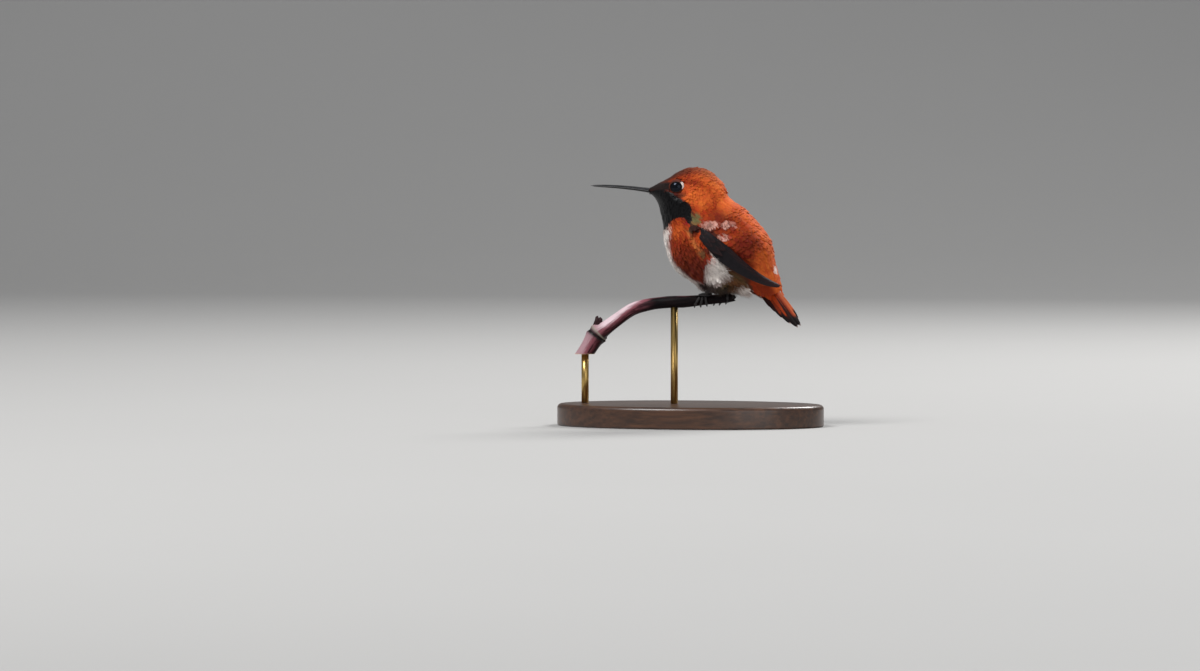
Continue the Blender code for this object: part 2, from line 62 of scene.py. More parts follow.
studio = bpy.context.scene
print("frame loaded:", len(nodes), "nodes")


def linear(red, green, blue):  # sRGB 0-255 to the linear colour a shader wants
    shares = (red / 255, green / 255, blue / 255)
    return tuple(c / 12.92 if c <= 0.04045 else ((c + 0.055) / 1.055) ** 2.4 for c in shares)


def smooth(value, low=0.0, high=1.0):
    t = np.clip((np.asarray(value, float) - low) / (high - low), 0, 1)
    return t * t * (3 - 2 * t)


def band(values, low, high, soft=0.25):
    return smooth(values, low - soft, low + soft) * (1 - smooth(values, high - soft, high + soft))


def hump(value, centre, width):
    return math.exp(-(((value - centre) / width) ** 2))


def spline(rows, share):  # Catmull-Rom through equally spaced rows
    rows = np.asarray(rows, float)
    place = min(max(share, 0.0), 1.0) * (len(rows) - 1)
    i = min(int(place), len(rows) - 2)
    t = place - i
    a, b, c, d = rows[max(i - 1, 0)], rows[i], rows[i + 1], rows[min(i + 2, len(rows) - 1)]
    return 0.5 * (2 * b + (c - a) * t + (2 * a - 5 * b + 4 * c - d) * t * t + (3 * b - a - 3 * c + d) * t**3)


def shown(name, data):  # a new object in the scene's own collection
    obj = bpy.data.objects.new(name, data)
    studio.collection.objects.link(obj)
    return obj


def triangles(mesh):
    return sum(len(p.vertices) - 2 for p in mesh.polygons)


def meshObject(name, points, faces, material=None):
    mesh = bpy.data.meshes.new(name)
    mesh.from_pydata([tuple(p) for p in points], [], faces)
    mesh.validate()
    mesh.shade_smooth()
    if material:
        mesh.materials.append(material)
    return shown(name, mesh)


def pointAttribute(mesh, name, values, kind="FLOAT"):
    made = mesh.attributes.get(name) or mesh.attributes.new(name, kind, "POINT")
    key = {"FLOAT": "value", "FLOAT_VECTOR": "vector"}[kind]
    made.data.foreach_set(key, np.asarray(values, np.float32).ravel())


def realMesh(obj, name):  # the evaluated object as a plain mesh object
    graph = bpy.context.evaluated_depsgraph_get()
    ready = obj.evaluated_get(graph)
    return shown(name, bpy.data.meshes.new_from_object(ready, preserve_all_data_layers=True, depsgraph=graph))


def opened(mesh):  # a copy of the mesh to work on
    work = bmesh.new()
    work.from_mesh(mesh)
    return work


def writeBack(work, mesh):
    work.to_mesh(mesh)
    work.free()


def closedMesh(obj):  # faces all outward
    work = opened(obj.data)
    bmesh.ops.recalc_face_normals(work, faces=work.faces)
    writeBack(work, obj.data)
    return obj


def tube(points, radii, sides):  # rings of a closed tube along a line
    points = np.asarray(points, float)
    ways = np.gradient(points, axis=0)
    ways /= np.linalg.norm(ways, axis=1)[:, None]
    first = np.cross(ways[0], (0.3, 0.2, 0.93))
    rings = []
    for place, way, radius in zip(points, ways, radii):
        first = first - way * (first @ way)
        first /= np.linalg.norm(first)
        second = np.cross(way, first)
        turns = np.linspace(0, 2 * math.pi, sides, endpoint=False)
        rings.append(place + (np.cos(turns)[:, None] * first + np.sin(turns)[:, None] * second) * radius)
    return np.concatenate(rings), ringFaces(len(rings), sides)


def ringFaces(rings, sides):  # the faces of a closed tube, ends first
    faces = [tuple(range(sides))[::-1], tuple((rings - 1) * sides + k for k in range(sides))]
    for i in range(rings - 1):
        for k in range(sides):
            a, b = i * sides + k, i * sides + (k + 1) % sides
            faces.append((a, b, b + sides, a + sides))
    return faces


def joinParts(name, parts, material):  # several closed forms as one object
    points, faces, start = [], [], 0
    for partPoints, partFaces in parts:
        points.append(np.asarray(partPoints))
        faces += [tuple(v + start for v in face) for face in partFaces]
        start += len(partPoints)
    return closedMesh(meshObject(name, np.concatenate(points) * mm, faces, material))


def rotationZ(points, pivot, angles):
    c, s = np.cos(angles), np.sin(angles)
    x, y = points[:, 0] - pivot[0], points[:, 1] - pivot[1]
    return np.column_stack([pivot[0] + c * x - s * y, pivot[1] + s * x + c * y, points[:, 2]])


pose = {
    "headTurn": 12.0,  # degrees to the bird's left
    "headPivot": (6.0, 0.0, 56.0),
    "headWay": (-0.64, 0.0, 0.77),  # the turn grows this way from the pivot
    "headReach": 11.0,  # and is whole this far on
    "tailRoot": (17.9, 0.0, 43.3),
    "tailTip": (30.3, 0.0, 27.3),
    "tailRoll": 30.0,
    "tailReach": 14.0,
}
tailAlong = np.subtract(pose["tailTip"], pose["tailRoot"])
tailAlong /= np.linalg.norm(tailAlong)
tailAbove = np.array([-tailAlong[2], 0, tailAlong[0]])


def headAngles(points):
    share = smooth((points - np.array(pose["headPivot"])) @ np.array(pose["headWay"]) / pose["headReach"])
    return math.radians(pose["headTurn"]) * share


def straighten(points):  # from the posed bird to the straight one, head only
    straight = points.copy()
    for _ in range(3):
        straight = rotationZ(points, pose["headPivot"], -headAngles(straight))
    return straight


def posed(points):  # from the straight bird to the posed one
    points = np.asarray(points, float)
    root = np.array(pose["tailRoot"])
    share = smooth((points - root) @ tailAlong / pose["tailReach"] + 0.5)
    angle = math.radians(pose["tailRoll"]) * share
    rel = points - root
    cross = np.cross(tailAlong, rel)
    dot = (rel @ tailAlong)[:, None] * tailAlong
    c, s = np.cos(angle)[:, None], np.sin(angle)[:, None]
    rolled = root + rel * c + cross * s + dot * (1 - c)
    turn = headAngles(points)
    turned = rotationZ(points, pose["headPivot"], turn)
    return np.where((turn > 0)[:, None], turned, rolled)


# Ribs of the body: back x and z, belly x and z. They give the way that the feathers lie.
bodyRibs = np.array([
    (-11.1, 65.1, -11.0, 63.9),
    (-8.9, 66.3, -9.7, 62.8),
    (-6.0, 67.8, -8.5, 60.6),
    (-3.0, 69.7, -7.8, 58.0),
    (0.8, 70.7, -7.2, 55.3),
    (5.0, 69.9, -7.0, 52.5),
    (8.5, 66.9, -6.7, 49.5),
    (10.7, 63.0, -5.8, 45.7),
    (14.7, 60.2, -3.9, 42.4),
    (18.9, 56.2, -0.6, 39.9),
    (22.0, 52.0, 2.8, 38.2),
    (23.1, 47.6, 7.2, 37.5),
    (23.9, 43.7, 12.0, 37.2),
    (25.0, 39.6, 16.7, 36.4),
    (25.9, 36.9, 19.9, 34.7),
])


# For straight points: place along the ribs 0-14, place down them 0-1, and the ribs' normal
def bodyPlace(points):
    across = bodyRibs[:, 2:] - bodyRibs[:, :2]
    normal = np.column_stack([-across[:, 1], across[:, 0]])
    normal /= np.linalg.norm(normal, axis=1)[:, None]
    flat = points[:, [0, 2]]
    ahead = np.einsum("pri,ri->pr", flat[:, None, :] - bodyRibs[None, :, :2], normal)
    first = np.argmax(ahead < 0, axis=1)
    first[(ahead >= 0).all(axis=1)] = len(bodyRibs) - 1
    first = np.clip(first, 1, len(bodyRibs) - 1)
    rows = np.arange(len(points))
    before, after = ahead[rows, first - 1], ahead[rows, first]
    t = np.clip(before / np.where(before - after == 0, 1, before - after), -0.5, 1.5)
    along = first - 1 + t
    way = normal[first - 1] * (1 - t)[:, None] + normal[first] * t[:, None]
    top = bodyRibs[first - 1, :2] * (1 - t)[:, None] + bodyRibs[first, :2] * t[:, None]
    low = bodyRibs[first - 1, 2:] * (1 - t)[:, None] + bodyRibs[first, 2:] * t[:, None]
    span = low - top
    down = np.einsum("pi,pi->p", flat - top, span) / np.einsum("pi,pi->p", span, span)
    return along, down, np.column_stack([way[:, 0], np.zeros(len(points)), way[:, 1]])


class Wiring:  # short hand for building a node tree
    def __init__(self, tree):
        self.tree = tree

    def node(self, kind, inputs=None, **settings):
        made = self.tree.nodes.new(kind)
        for key, value in settings.items():
            setattr(made, key, value)
        for key, value in (inputs or {}).items():
            self.feed(made.inputs[key], value)
        return made

    def feed(self, socket, value):
        if isinstance(value, bpy.types.NodeSocket):
            self.tree.links.new(value, socket)
        elif isinstance(value, bpy.types.Node):
            self.tree.links.new(value.outputs[0], socket)
        else:
            socket.default_value = value

    def math(self, operation, *values):
        made = self.node("ShaderNodeMath", operation=operation)
        for socket, value in zip(made.inputs, values):
            self.feed(socket, value)
        return made.outputs[0]

    def mix(self, share, one, two):
        made = self.node("ShaderNodeMix", data_type="RGBA", clamp_factor=True)
        for index, value in ((0, share), (6, one), (7, two)):
            if isinstance(value, tuple) and len(value) == 3:
                value = (*value, 1)
            self.feed(made.inputs[index], value)
        return made.outputs[2]

    def noise(self, place, scale, detail, roughness=0.5):
        inputs = {"Vector": place, "Scale": scale, "Detail": detail, "Roughness": roughness}
        return self.node("ShaderNodeTexNoise", inputs).outputs["Fac"]

    def ramp(self, value, *stops):
        made = self.node("ShaderNodeMapRange", interpolation_type="SMOOTHSTEP")
        self.feed(made.inputs["Value"], value)
        for key, number in zip(("From Min", "From Max", "To Min", "To Max"), stops):
            made.inputs[key].default_value = number
        return made.outputs[0]


def shaderGroup(name, inputs, outputs):
    tree = bpy.data.node_groups.new(name, "ShaderNodeTree")
    for label, kind, default in inputs:
        socket = tree.interface.new_socket(name=label, in_out="INPUT", socket_type="NodeSocket" + kind)
        if default is not None:
            socket.default_value = default
    for label, kind in outputs:
        tree.interface.new_socket(name=label, in_out="OUTPUT", socket_type="NodeSocket" + kind)
    wires = Wiring(tree)
    return tree, wires, wires.node("NodeGroupInput"), wires.node("NodeGroupOutput")


plumageTones = {  # sRGB colours of the plumage
    "rufous": (176, 62, 17),
    "rufousDeep": (104, 28, 9),
    "rufousBright": (226, 105, 44),
    "gorget": (12, 11, 13),
    # painted iridescent glint below the gorget
    "ember": (146, 30, 34),
    "white": (250, 242, 236),
    "whiteShade": (224, 212, 202),
    "bronze": (96, 48, 22),
    "green": (104, 96, 60),
    # dark tone for real dark markings and for painted shade
    "dusk": (34, 22, 20),
}
maskNames = ("gorget", "ember", "white", "bronze", "green", "dusk", "bright", "deep")
featherKeys = ("along", "edge", "chance")  # along a feather, across it, and one value for each feather


def buildPlumageGroup():
    inputs = [("Place", "Vector", None)]
    inputs += [(key, "Float", 0.5) for key in featherKeys]
    inputs += [(mask, "Float", 0.0) for mask in maskNames]
    outputs = [("Colour", "Color"), ("Roughness", "Float")]
    tree, w, source, out = shaderGroup("plumageColour", inputs, outputs)
    tone = {key: linear(*value) for key, value in plumageTones.items()}
    get = source.outputs
    patch = w.ramp(w.noise(get["Place"], 260.0, 2.0), 0.36, 0.66, 0.0, 1.0)
    streak = w.ramp(w.noise(get["Place"], 1700.0, 3.0), 0.35, 0.7, 0.0, 1.0)
    body = w.mix(w.math("MULTIPLY", patch, 0.32), tone["rufous"], tone["rufousDeep"])
    base = w.math("SUBTRACT", 1.0, w.ramp(get["along"], 0.15, 0.8, 0.0, 1.0))
    body = w.mix(w.math("MULTIPLY", base, 0.40), body, tone["rufousDeep"])
    tip = w.ramp(get["along"], 0.78, 1.0, 0.0, 0.16)
    body = w.mix(tip, body, tone["rufousBright"])
    # deep mask: deeper rufous tone and painted shade
    body = w.mix(get["deep"], body, tone["rufousDeep"])
    # bright mask: bright orange plumage and painted rim light
    body = w.mix(get["bright"], body, tone["rufousBright"])
    pale = w.mix(w.math("MULTIPLY", base, 0.75), tone["white"], tone["whiteShade"])
    colour = w.mix(get["bronze"], body, tone["bronze"])
    # dark mask: real dark markings and painted shade
    colour = w.mix(get["dusk"], colour, tone["dusk"])
    colour = w.mix(get["green"], colour, tone["green"])
    colour = w.mix(get["white"], colour, pale)
    colour = w.mix(get["gorget"], colour, tone["gorget"])
    colour = w.mix(get["ember"], colour, tone["ember"])
    barbs = w.math("SUBTRACT", w.math("MULTIPLY", get["along"], 95.0), w.math("MULTIPLY", get["edge"], 20.0))
    barbs = w.math("MULTIPLY", w.math("SINE", barbs), 0.07)
    hue = w.node("ShaderNodeHueSaturation", {"Color": colour, "Fac": 1.0})
    value = w.math("ADD", w.math("MULTIPLY_ADD", get["chance"], 0.14, 0.88), barbs)
    w.feed(hue.inputs["Value"], w.math("MULTIPLY", value, w.math("MULTIPLY_ADD", streak, 0.16, 0.92)))
    w.feed(hue.inputs["Hue"], w.math("MULTIPLY_ADD", get["chance"], 0.010, 0.495))
    w.feed(out.inputs["Colour"], hue.outputs[0])
    rough = w.mix(get["gorget"], (0.72, 0.72, 0.72), (0.42, 0.42, 0.42))
    w.feed(out.inputs["Roughness"], rough)
    return tree


def newMaterial(name, finish):  # finish: the shader's plain values
    made = bpy.data.materials.new(name)
    made.use_nodes = True
    w = Wiring(made.node_tree)
    shader = made.node_tree.nodes["Principled BSDF"]
    for key, value in finish.items():
        shader.inputs[key].default_value = value
    return made, w, shader, w.node("ShaderNodeTexCoord").outputs["Object"]


def attributeSocket(w, name):
    return w.node("ShaderNodeAttribute", attribute_name=name).outputs["Fac"]


def addBump(w, shader, height, strength, distance, invert=False):
    inputs = {"Height": height, "Strength": strength, "Distance": distance}
    w.feed(shader.inputs["Normal"], w.node("ShaderNodeBump", inputs, invert=invert))


def plumageMaterial(name, onFeathers):
    finish = {"Sheen Weight": 0.06, "Sheen Roughness": 0.45, "Specular IOR Level": 0.12}
    made, w, shader, place = newMaterial(name, finish)
    use = w.node("ShaderNodeGroup", node_tree=plumageGroup)
    w.feed(use.inputs["Place"], place)
    for mask in maskNames:
        w.feed(use.inputs[mask], attributeSocket(w, mask + "Mask"))
    if onFeathers:
        for key in featherKeys:
            w.feed(use.inputs[key], attributeSocket(w, key))
    else:
        use.inputs["along"].default_value = 0.2
    w.feed(shader.inputs["Base Color"], use.outputs["Colour"])
    w.feed(shader.inputs["Roughness"], use.outputs["Roughness"])
    return made


plumageGroup = buildPlumageGroup()
coatMaterial = plumageMaterial("featherCoat", True)
skinMaterial = plumageMaterial("skinUnderCoat", False)
print("materials for the plumage made")

# The folded wings follow one line down each flank
wingLook = {
    "line": [  # x, distance from the middle plane, z, half width, half thickness, lean in degrees
        (1.6, 9.7, 55.0, 1.3, 0.65, 0),
        (4.4, 10.6, 52.7, 2.2, 0.80, 4),
        (8.0, 11.2, 49.8, 2.5, 0.80, 10),
        (11.9, 10.9, 46.7, 2.6, 0.72, 18),
        (16.3, 9.3, 43.7, 2.3, 0.62, 28),
        (20.4, 6.9, 41.2, 1.65, 0.50, 38),
        (23.6, 4.9, 39.7, 0.85, 0.38, 46),
        (25.8, 3.4, 38.9, 0.25, 0.27, 50),
    ],
    "tips": [1.0, 0.985, 0.945, 0.885, 0.82, 0.75, 0.68, 0.61, 0.55, 0.49],  # outermost primary first
    "tuck": {left: 1.0, right: 0.91},
    "width": 2.3,
    "layer": 0.075,
    "rootSink": 2.0,  # the root dips under the shoulder feathers
    "coverts": [(0.07, 0.38, 7, 1.6), (0.06, 0.28, 7, 1.5), (0.05, 0.19, 6, 1.3)],  # start, end, count, width
}


def wingFrame(share, side):
    x0, out, z0, halfWidth, halfThick, lean = spline(wingLook["line"], share)
    a, b = spline(wingLook["line"], min(share + 0.01, 1)), spline(wingLook["line"], max(share - 0.01, 0))
    alongWay = (a - b)[:3]
    alongWay /= np.linalg.norm(alongWay)
    up = np.array([-alongWay[2], 0, alongWay[0]])
    up /= np.linalg.norm(up)
    outward = np.array([0, math.cos(math.radians(lean)), 0]) + up * math.sin(math.radians(lean))
    outward -= alongWay * (outward @ alongWay)
    outward /= np.linalg.norm(outward)
    across = np.cross(alongWay, outward)
    flip = np.array([1, side, 1])
    return np.array([x0, out, z0]) * flip, across * flip, outward * flip, halfWidth, halfThick


# For each point the nearest place along a wing, across it and above it, and the wing's ways there
def nearWing(points):
    shares = np.linspace(0, 1, 70)
    found = None
    for side in (left, right):
        frames = [wingFrame(share, side) for share in shares]
        centres = np.array([f[0] for f in frames])
        reach = np.linalg.norm(points[:, None, :] - centres[None], axis=2)
        nearest = reach.argmin(axis=1)
        offset = points - centres[nearest]
        across, outward, halfWidth = [np.array([f[k] for f in frames])[nearest] for k in (1, 2, 3)]
        lane = np.einsum("pi,pi->p", offset, across) / halfWidth
        height = np.einsum("pi,pi->p", offset, outward)
        alongWay = np.gradient(centres, axis=0)[nearest]
        alongWay /= np.linalg.norm(alongWay, axis=1)[:, None]
        row = np.column_stack([reach.min(axis=1), shares[nearest], lane, height, alongWay, outward])
        found = row if found is None else np.where((row[:, 0] < found[:, 0])[:, None], row, found)
    return found[:, 1], found[:, 2], found[:, 3], found[:, 4:7], found[:, 7:]


skinLook = {
    "voxel": 0.34,
    "swell": 0.12,  # closes the cuts between the solids
    "wingSwell": -0.45,  # the covert solids go in thinner
    "smoothing": 14,
    "billDepth": 0.04,
    "billReach": 0.30,
    "billTaper": 0.20,
    "faceDepth": 0.06,  # how far the skin lies inside the solids
    "bodyDepth": 0.70,
    "lidDepth": 0.18,  # the lids stay proud of the skin
}
fleshNodes = ["head", "gorget", "breast", "neck", "trunk", "rump", "undertail", "thigh_left", "thigh_right"]
wingNodes = {side: [f"wing_{word}_coverts", f"wing_{word}_primaries"] for side, word in sideWords.items()}
eyeAt = {left: Vector((-3.55, -3.9, 65.4)), right: Vector((-3.55, 3.9, 65.4))}


def weldedCopy(name, grow):
    work = opened(nodes[name].data)
    bmesh.ops.remove_doubles(work, verts=work.verts, dist=2e-6)
    work.normal_update()
    shifts = [v.co + v.normal * grow * mm for v in work.verts]
    for v, place in zip(work.verts, shifts):
        v.co = place
    return work


def makeSkin():
    whole = bmesh.new()
    parts = [(name, skinLook["swell"]) for name in fleshNodes]
    parts += [(names[0], skinLook["wingSwell"]) for names in wingNodes.values()]
    for name, grow in parts:
        piece = weldedCopy(name, grow)
        mesh = bpy.data.meshes.new("part")
        writeBack(piece, mesh)
        whole.from_mesh(mesh)
        bpy.data.meshes.remove(mesh)
    mesh = bpy.data.meshes.new("skinSource")
    writeBack(whole, mesh)
    obj = shown("skinSource", mesh)
    remesh = obj.modifiers.new("remesh", "REMESH")
    remesh.mode = "VOXEL"
    remesh.voxel_size = skinLook["voxel"] * mm
    made = realMesh(obj, "skin")
    bpy.data.objects.remove(obj)
    return made


def largestPart(obj):  # drops stray inner shells
    work = opened(obj.data)
    work.verts.ensure_lookup_table()
    seen, best = set(), []
    for start in work.verts:
        if start in seen:
            continue
        shell, rim = {start}, {start}
        while rim:
            rim = {e.other_vert(v) for v in rim for e in v.link_edges} - shell
            shell |= rim
        seen |= shell
        if len(shell) > len(best):
            best = shell
    bmesh.ops.delete(work, geom=[v for v in work.verts if v not in best], context="VERTS")
    bmesh.ops.recalc_face_normals(work, faces=work.faces)
    writeBack(work, obj.data)


skin = makeSkin()
largestPart(skin)
skinMesh = skin.data
count = len(skinMesh.vertices)


def skinRead(key):
    values = np.empty(count * 3, np.float32)
    skinMesh.vertices.foreach_get(key, values)
    return values.reshape(-1, 3).astype(float)


def skinWrite(points):
    skinMesh.vertices.foreach_set("co", (points * mm).astype(np.float32).ravel())
    skinMesh.update()


def relax(points, weights, rounds):  # evens the surface out, less where the weight is small
    ends = np.empty(len(skinMesh.edges) * 2, np.int32)
    skinMesh.edges.foreach_get("vertices", ends)
    a, b = ends[::2], ends[1::2]
    number = np.bincount(a, minlength=count) + np.bincount(b, minlength=count)
    for _ in range(rounds):
        sums = [np.bincount(a, points[b, k], count) + np.bincount(b, points[a, k], count) for k in range(3)]
        points = points + (np.column_stack(sums) / number[:, None] - points) * weights[:, None]
    return points


coords = skinRead("co") * 1000
straight = straighten(coords)
along, down, way = bodyPlace(straight)
coords = relax(coords, 0.08 + 0.42 * smooth(along, 0.6, 3.0), skinLook["smoothing"])
skinWrite(coords)
normals = skinRead("normal")
depth = skinLook["billDepth"] + (skinLook["faceDepth"] - skinLook["billDepth"]) * smooth(along, 0.3, 2.0)
depth += (skinLook["bodyDepth"] - skinLook["faceDepth"]) * smooth(along, 4.6, 8.6)
for where in eyeAt.values():
    reach = np.hypot(straight[:, 0] - where.x, straight[:, 2] - where.z)
    depth += skinLook["lidDepth"] * (1 - smooth(reach, 2.2, 3.8))
depth *= 1 - 0.35 * smooth(along, 12.0, 14.0)
coords -= normals * depth[:, None]
taper = 1 - skinLook["billTaper"] * (1 - smooth(along, -0.1, 1.1))
snout = posed(np.array([(-11.0, 0.0, 64.6)]))[0]
coords[:, 1:] = snout[1:] + (coords[:, 1:] - snout[1:]) * taper[:, None]
coords[:, 0] -= skinLook["billReach"] * (1 - smooth(along, 0.0, 1.2))
wingPlace, wingLane, wingHeight, wingWay, wingOut = nearWing(coords)  # the skin stays under the wings
proud = np.clip(wingHeight + 0.5, 0, 1.5) * (np.abs(wingLane) < 1.2) * band(wingPlace, 0.28, 1.1, 0.06)
coords -= wingOut * proud[:, None]
skinWrite(coords)
straight = straighten(coords)
along, down, way = bodyPlace(straight)
x, z, side = straight[:, 0], straight[:, 2], np.abs(straight[:, 1])
print("skin:", count, "points")


def ellipse(cx, cz, rx, rz, soft=0.35):  # 1 inside an upright ellipse of the side view, 0 outside
    return 1 - smooth(np.hypot((x - cx) / rx, (z - cz) / rz), 1 - soft, 1 + soft)


def lineReach(x0, z0, x1, z1):  # how far from a straight line of the side view
    dx, dz = x1 - x0, z1 - z0
    t = np.clip(((x - x0) * dx + (z - z0) * dz) / (dx**2 + dz**2), 0, 1)
    return np.hypot(x - x0 - t * dx, z - z0 - t * dz)


def nearLine(x0, z0, x1, z1, reach, soft=0.5):
    return 1 - smooth(lineReach(x0, z0, x1, z1), reach * (1 - soft), reach * (1 + soft))


def insideOutline(corners, soft):  # signed distance to a closed outline of the side view, softened
    corners = np.array(corners, float)
    inside = np.zeros(count, bool)
    nearest = np.full(count, 1e9)
    for (ax, az), (bx, bz) in zip(corners, np.roll(corners, -1, axis=0)):
        crosses = (az > z) != (bz > z)
        with np.errstate(divide="ignore", invalid="ignore"):
            inside ^= crosses & (x < (bx - ax) * (z - az) / (bz - az) + ax)
        nearest = np.minimum(nearest, lineReach(ax, az, bx, bz))
    return smooth(np.where(inside, nearest, -nearest), -soft, soft)


def strongest(*masks):
    return np.maximum.reduce(masks)


def spots(rows):  # each row: strength, x and z of the middle, half width, half height and softness
    return strongest(*[share * ellipse(*row) for share, *row in rows])


def streaks(rows):  # each row: strength, x and z of both ends, reach
    return strongest(*[share * nearLine(*row) for share, *row in rows])


def ripple(scale, seed):  # a smooth wobble that keeps borders from looking drawn
    chance = random.Random(seed)
    total = np.zeros(count)
    for _ in range(5):
        direction = np.array([chance.uniform(-1, 1) for _ in range(3)])
        total += np.sin(straight @ direction * scale + chance.uniform(0, 6.3))
    return total / 5


markings = {
    "gorgetOutline": [
        (-14, 65.4), (-10.9, 64.5), (-8.2, 65.0), (-6.0, 64.4), (-2.8, 62.6), (0.1, 61.0), (1.0, 59.3),
        (1.1, 57.2), (1.4, 55.0), (-0.6, 56.2), (-2.6, 57.7), (-5.0, 57.0), (-7.0, 54.0), (-14, 51.6),
    ],
    # painted iridescent glint below the gorget
    "ember": [(1.0, -1.3, 56.5, 0.75, 0.4)],
    "greenSpots": [(1.0, 1.9, 57.6, 1.1, 1.7)],
    "scapulars": [(1.0, 6.1, 56.3, 1.9, 0.75), (1.0, 10.7, 56.5, 1.4, 0.55), (1.0, 9.8, 53.2, 1.0, 0.5)],
    "flank": (8.7, 43.3, 3.0, 4.4),
    "olive": (12.6, 39.9, 4.0, 2.8, 0.45),
    "ventTuft": (14.7, 38.5, 1.5, 1.0, 0.4),
    "behindEye": (-2.15, 66.0, 0.45, 0.7, 0.25),
    "backTuft": (23.6, 45.2, 1.0, 1.0),
    "shoulderLine": (0.4, 54.4, 4.2, 48.2, 0.75),
    "darkAndShadeLines": [
        (1.0, -11.5, 65.4, -6.2, 65.8, 1.25),
        # painted shadow along the wing's lower edge
        (0.8, 9.8, 44.6, 16.5, 40.2, 1.4),
        (0.9, 16.3, 39.3, 21.4, 33.8, 0.7),
    ],
    "darkAndShadeSpots": [
        (0.95, 1.8, 54.9, 1.8, 1.1),
        # painted shadow under the first scapular tuft
        (0.8, 5.6, 54.3, 2.0, 1.0),
        (0.8, 4.3, 48.8, 1.0, 1.5),
        # painted shade under the eye
        (0.6, -4.2, 63.6, 2.4, 0.8),
    ],
    "brightAndLitSpots": [
        (0.85, 1.4, 63.4, 4.0, 2.6, 0.6),
        # painted light on the lit right contour of the back and rump, this row and the next
        (0.65, 20.4, 47.9, 2.8, 3.4, 0.5),
        (0.9, 21.2, 42.2, 2.2, 2.8, 0.5),
        (0.4, -0.8, 66.1, 1.2, 0.6),
        (0.6, -3.6, 54.6, 2.4, 1.8, 0.5),
    ],
    "deepAndShadeSpots": [  # the back's painted shade, painted shade under the eye, then behind the crown and the mantle
        (0.95, 15.6, 49.6, 5.6, 5.4, 0.6),
        (0.9, -4.6, 64.0, 2.2, 1.0, 0.4),
        (0.6, 0.4, 67.0, 2.0, 0.9, 0.6),
        (0.8, 9.0, 57.0, 4.0, 3.0, 0.7),
    ],
    # painted shade along the lower rump, below the wing
    "rumpShade": (18.0, 38.0, 23.0, 35.0, 2.4, 0.4),
}
gorget = insideOutline(markings["gorgetOutline"], 0.12)
shoulderLine = nearLine(*markings["shoulderLine"]) * smooth(side, 5.5, 7.5)
scapulars = spots(markings["scapulars"]) * smooth(side, 5.0, 7.0)
breastLine = (1 - smooth(side + ripple(1.1, 3) * 0.9, 2.4, 5.4)) * smooth(down, 0.62, 0.85)
breastLine *= smooth(along, 3.0, 4.2) * (1 - 0.25 * smooth(along, 7.0, 9.5))
flank = ellipse(*markings["flank"]) * smooth(side, 2.0, 4.0)
olive = ellipse(*markings["olive"]) * smooth(down, 0.45, 0.6)
ventTuft = ellipse(*markings["ventTuft"])
behindEye = ellipse(*markings["behindEye"]) * smooth(side, 2.5, 3.5)
backTuft = ellipse(*markings["backTuft"]) * (1 - smooth(side, 0.8, 1.8))
crownLine = down + 0.04 * ripple(1.4, 5)
crown = smooth(crownLine, 0.19, 0.07) * smooth(along, 0.2, 1.0) * (1 - smooth(along, 2.2, 4.4))
breastShade = smooth(along, 5.0, 8.8) * smooth(down, 0.55, 0.7) * (1 - smooth(along, 10.0, 11.5))
# painted shade on the lowest flank feathers above the feet; the white is taken out there too
shadeOverFeet = smooth(z, 41.9, 40.1) * band(x, 2.6, 12.2, 0.8)
# painted iridescent glint below the gorget
ember = spots(markings["ember"])
green = strongest(spots(markings["greenSpots"]) * smooth(side, 5, 7), 0.35 * shoulderLine, 0.42 * olive)
white = strongest(breastLine, flank * (1 - olive), ventTuft, 0.42 * scapulars, behindEye, 0.7 * backTuft)
white *= 1 - 0.95 * shadeOverFeet
# dark mask: lores, crown and olive vent are real dark markings; the line under the wing, the spots under the
# tuft and the eye, the breast's shade and the shade over the feet are painted shade
dusk = strongest(
    streaks(markings["darkAndShadeLines"]),
    spots(markings["darkAndShadeSpots"]),
    0.72 * crown,
    0.5 * olive,
    0.30 * breastShade,
    0.85 * smooth(along, 12.0, 12.8) * smooth(down, 0.70, 0.82),
    0.95 * shadeOverFeet,
)
bronze = smooth(down, 0.16, 0.02) * smooth(along, 0.6, 2.0) * (1 - smooth(along, 4.6, 6.2)) * 0.6
# bright mask: cheek, shoulder line and scapulars are bright plumage; the rear crown, nape and rump contours
# carry painted rim light
bright = strongest(
    spots(markings["brightAndLitSpots"]),
    # painted rim light on the rear crown and along the top contour
    smooth(down, 0.23, 0.08) * smooth(along, 3.6, 5.0) * (1 - smooth(along, 6.8, 8.2)),
    smooth(down, 0.13, 0.04) * smooth(along, 6.5, 8.0) * 0.75,
    0.85 * shoulderLine,
    0.75 * scapulars,
    # painted rim light on the rump's top contour
    smooth(along, 10.2, 11.8) * smooth(down, 0.34, 0.14) * 0.75,
)
rumpShade = nearLine(*markings["rumpShade"])
# deep mask: painted shade on the back, under the eye, on the lower breast and the lower rump, with deeper
# tone behind the crown and on the mantle
deep = strongest(spots(markings["deepAndShadeSpots"]), 0.8 * breastShade, 0.25 * rumpShade) * (1 - 0.5 * bright)
masks = {
    "gorget": gorget,
    "ember": ember,
    "white": white * (1 - gorget),
    "bronze": bronze * (1 - gorget),
    "green": green,
    "dusk": dusk,
    "bright": bright * (1 - gorget),
    "deep": deep,
}
for name in maskNames:
    pointAttribute(skinMesh, name + "Mask", masks[name])

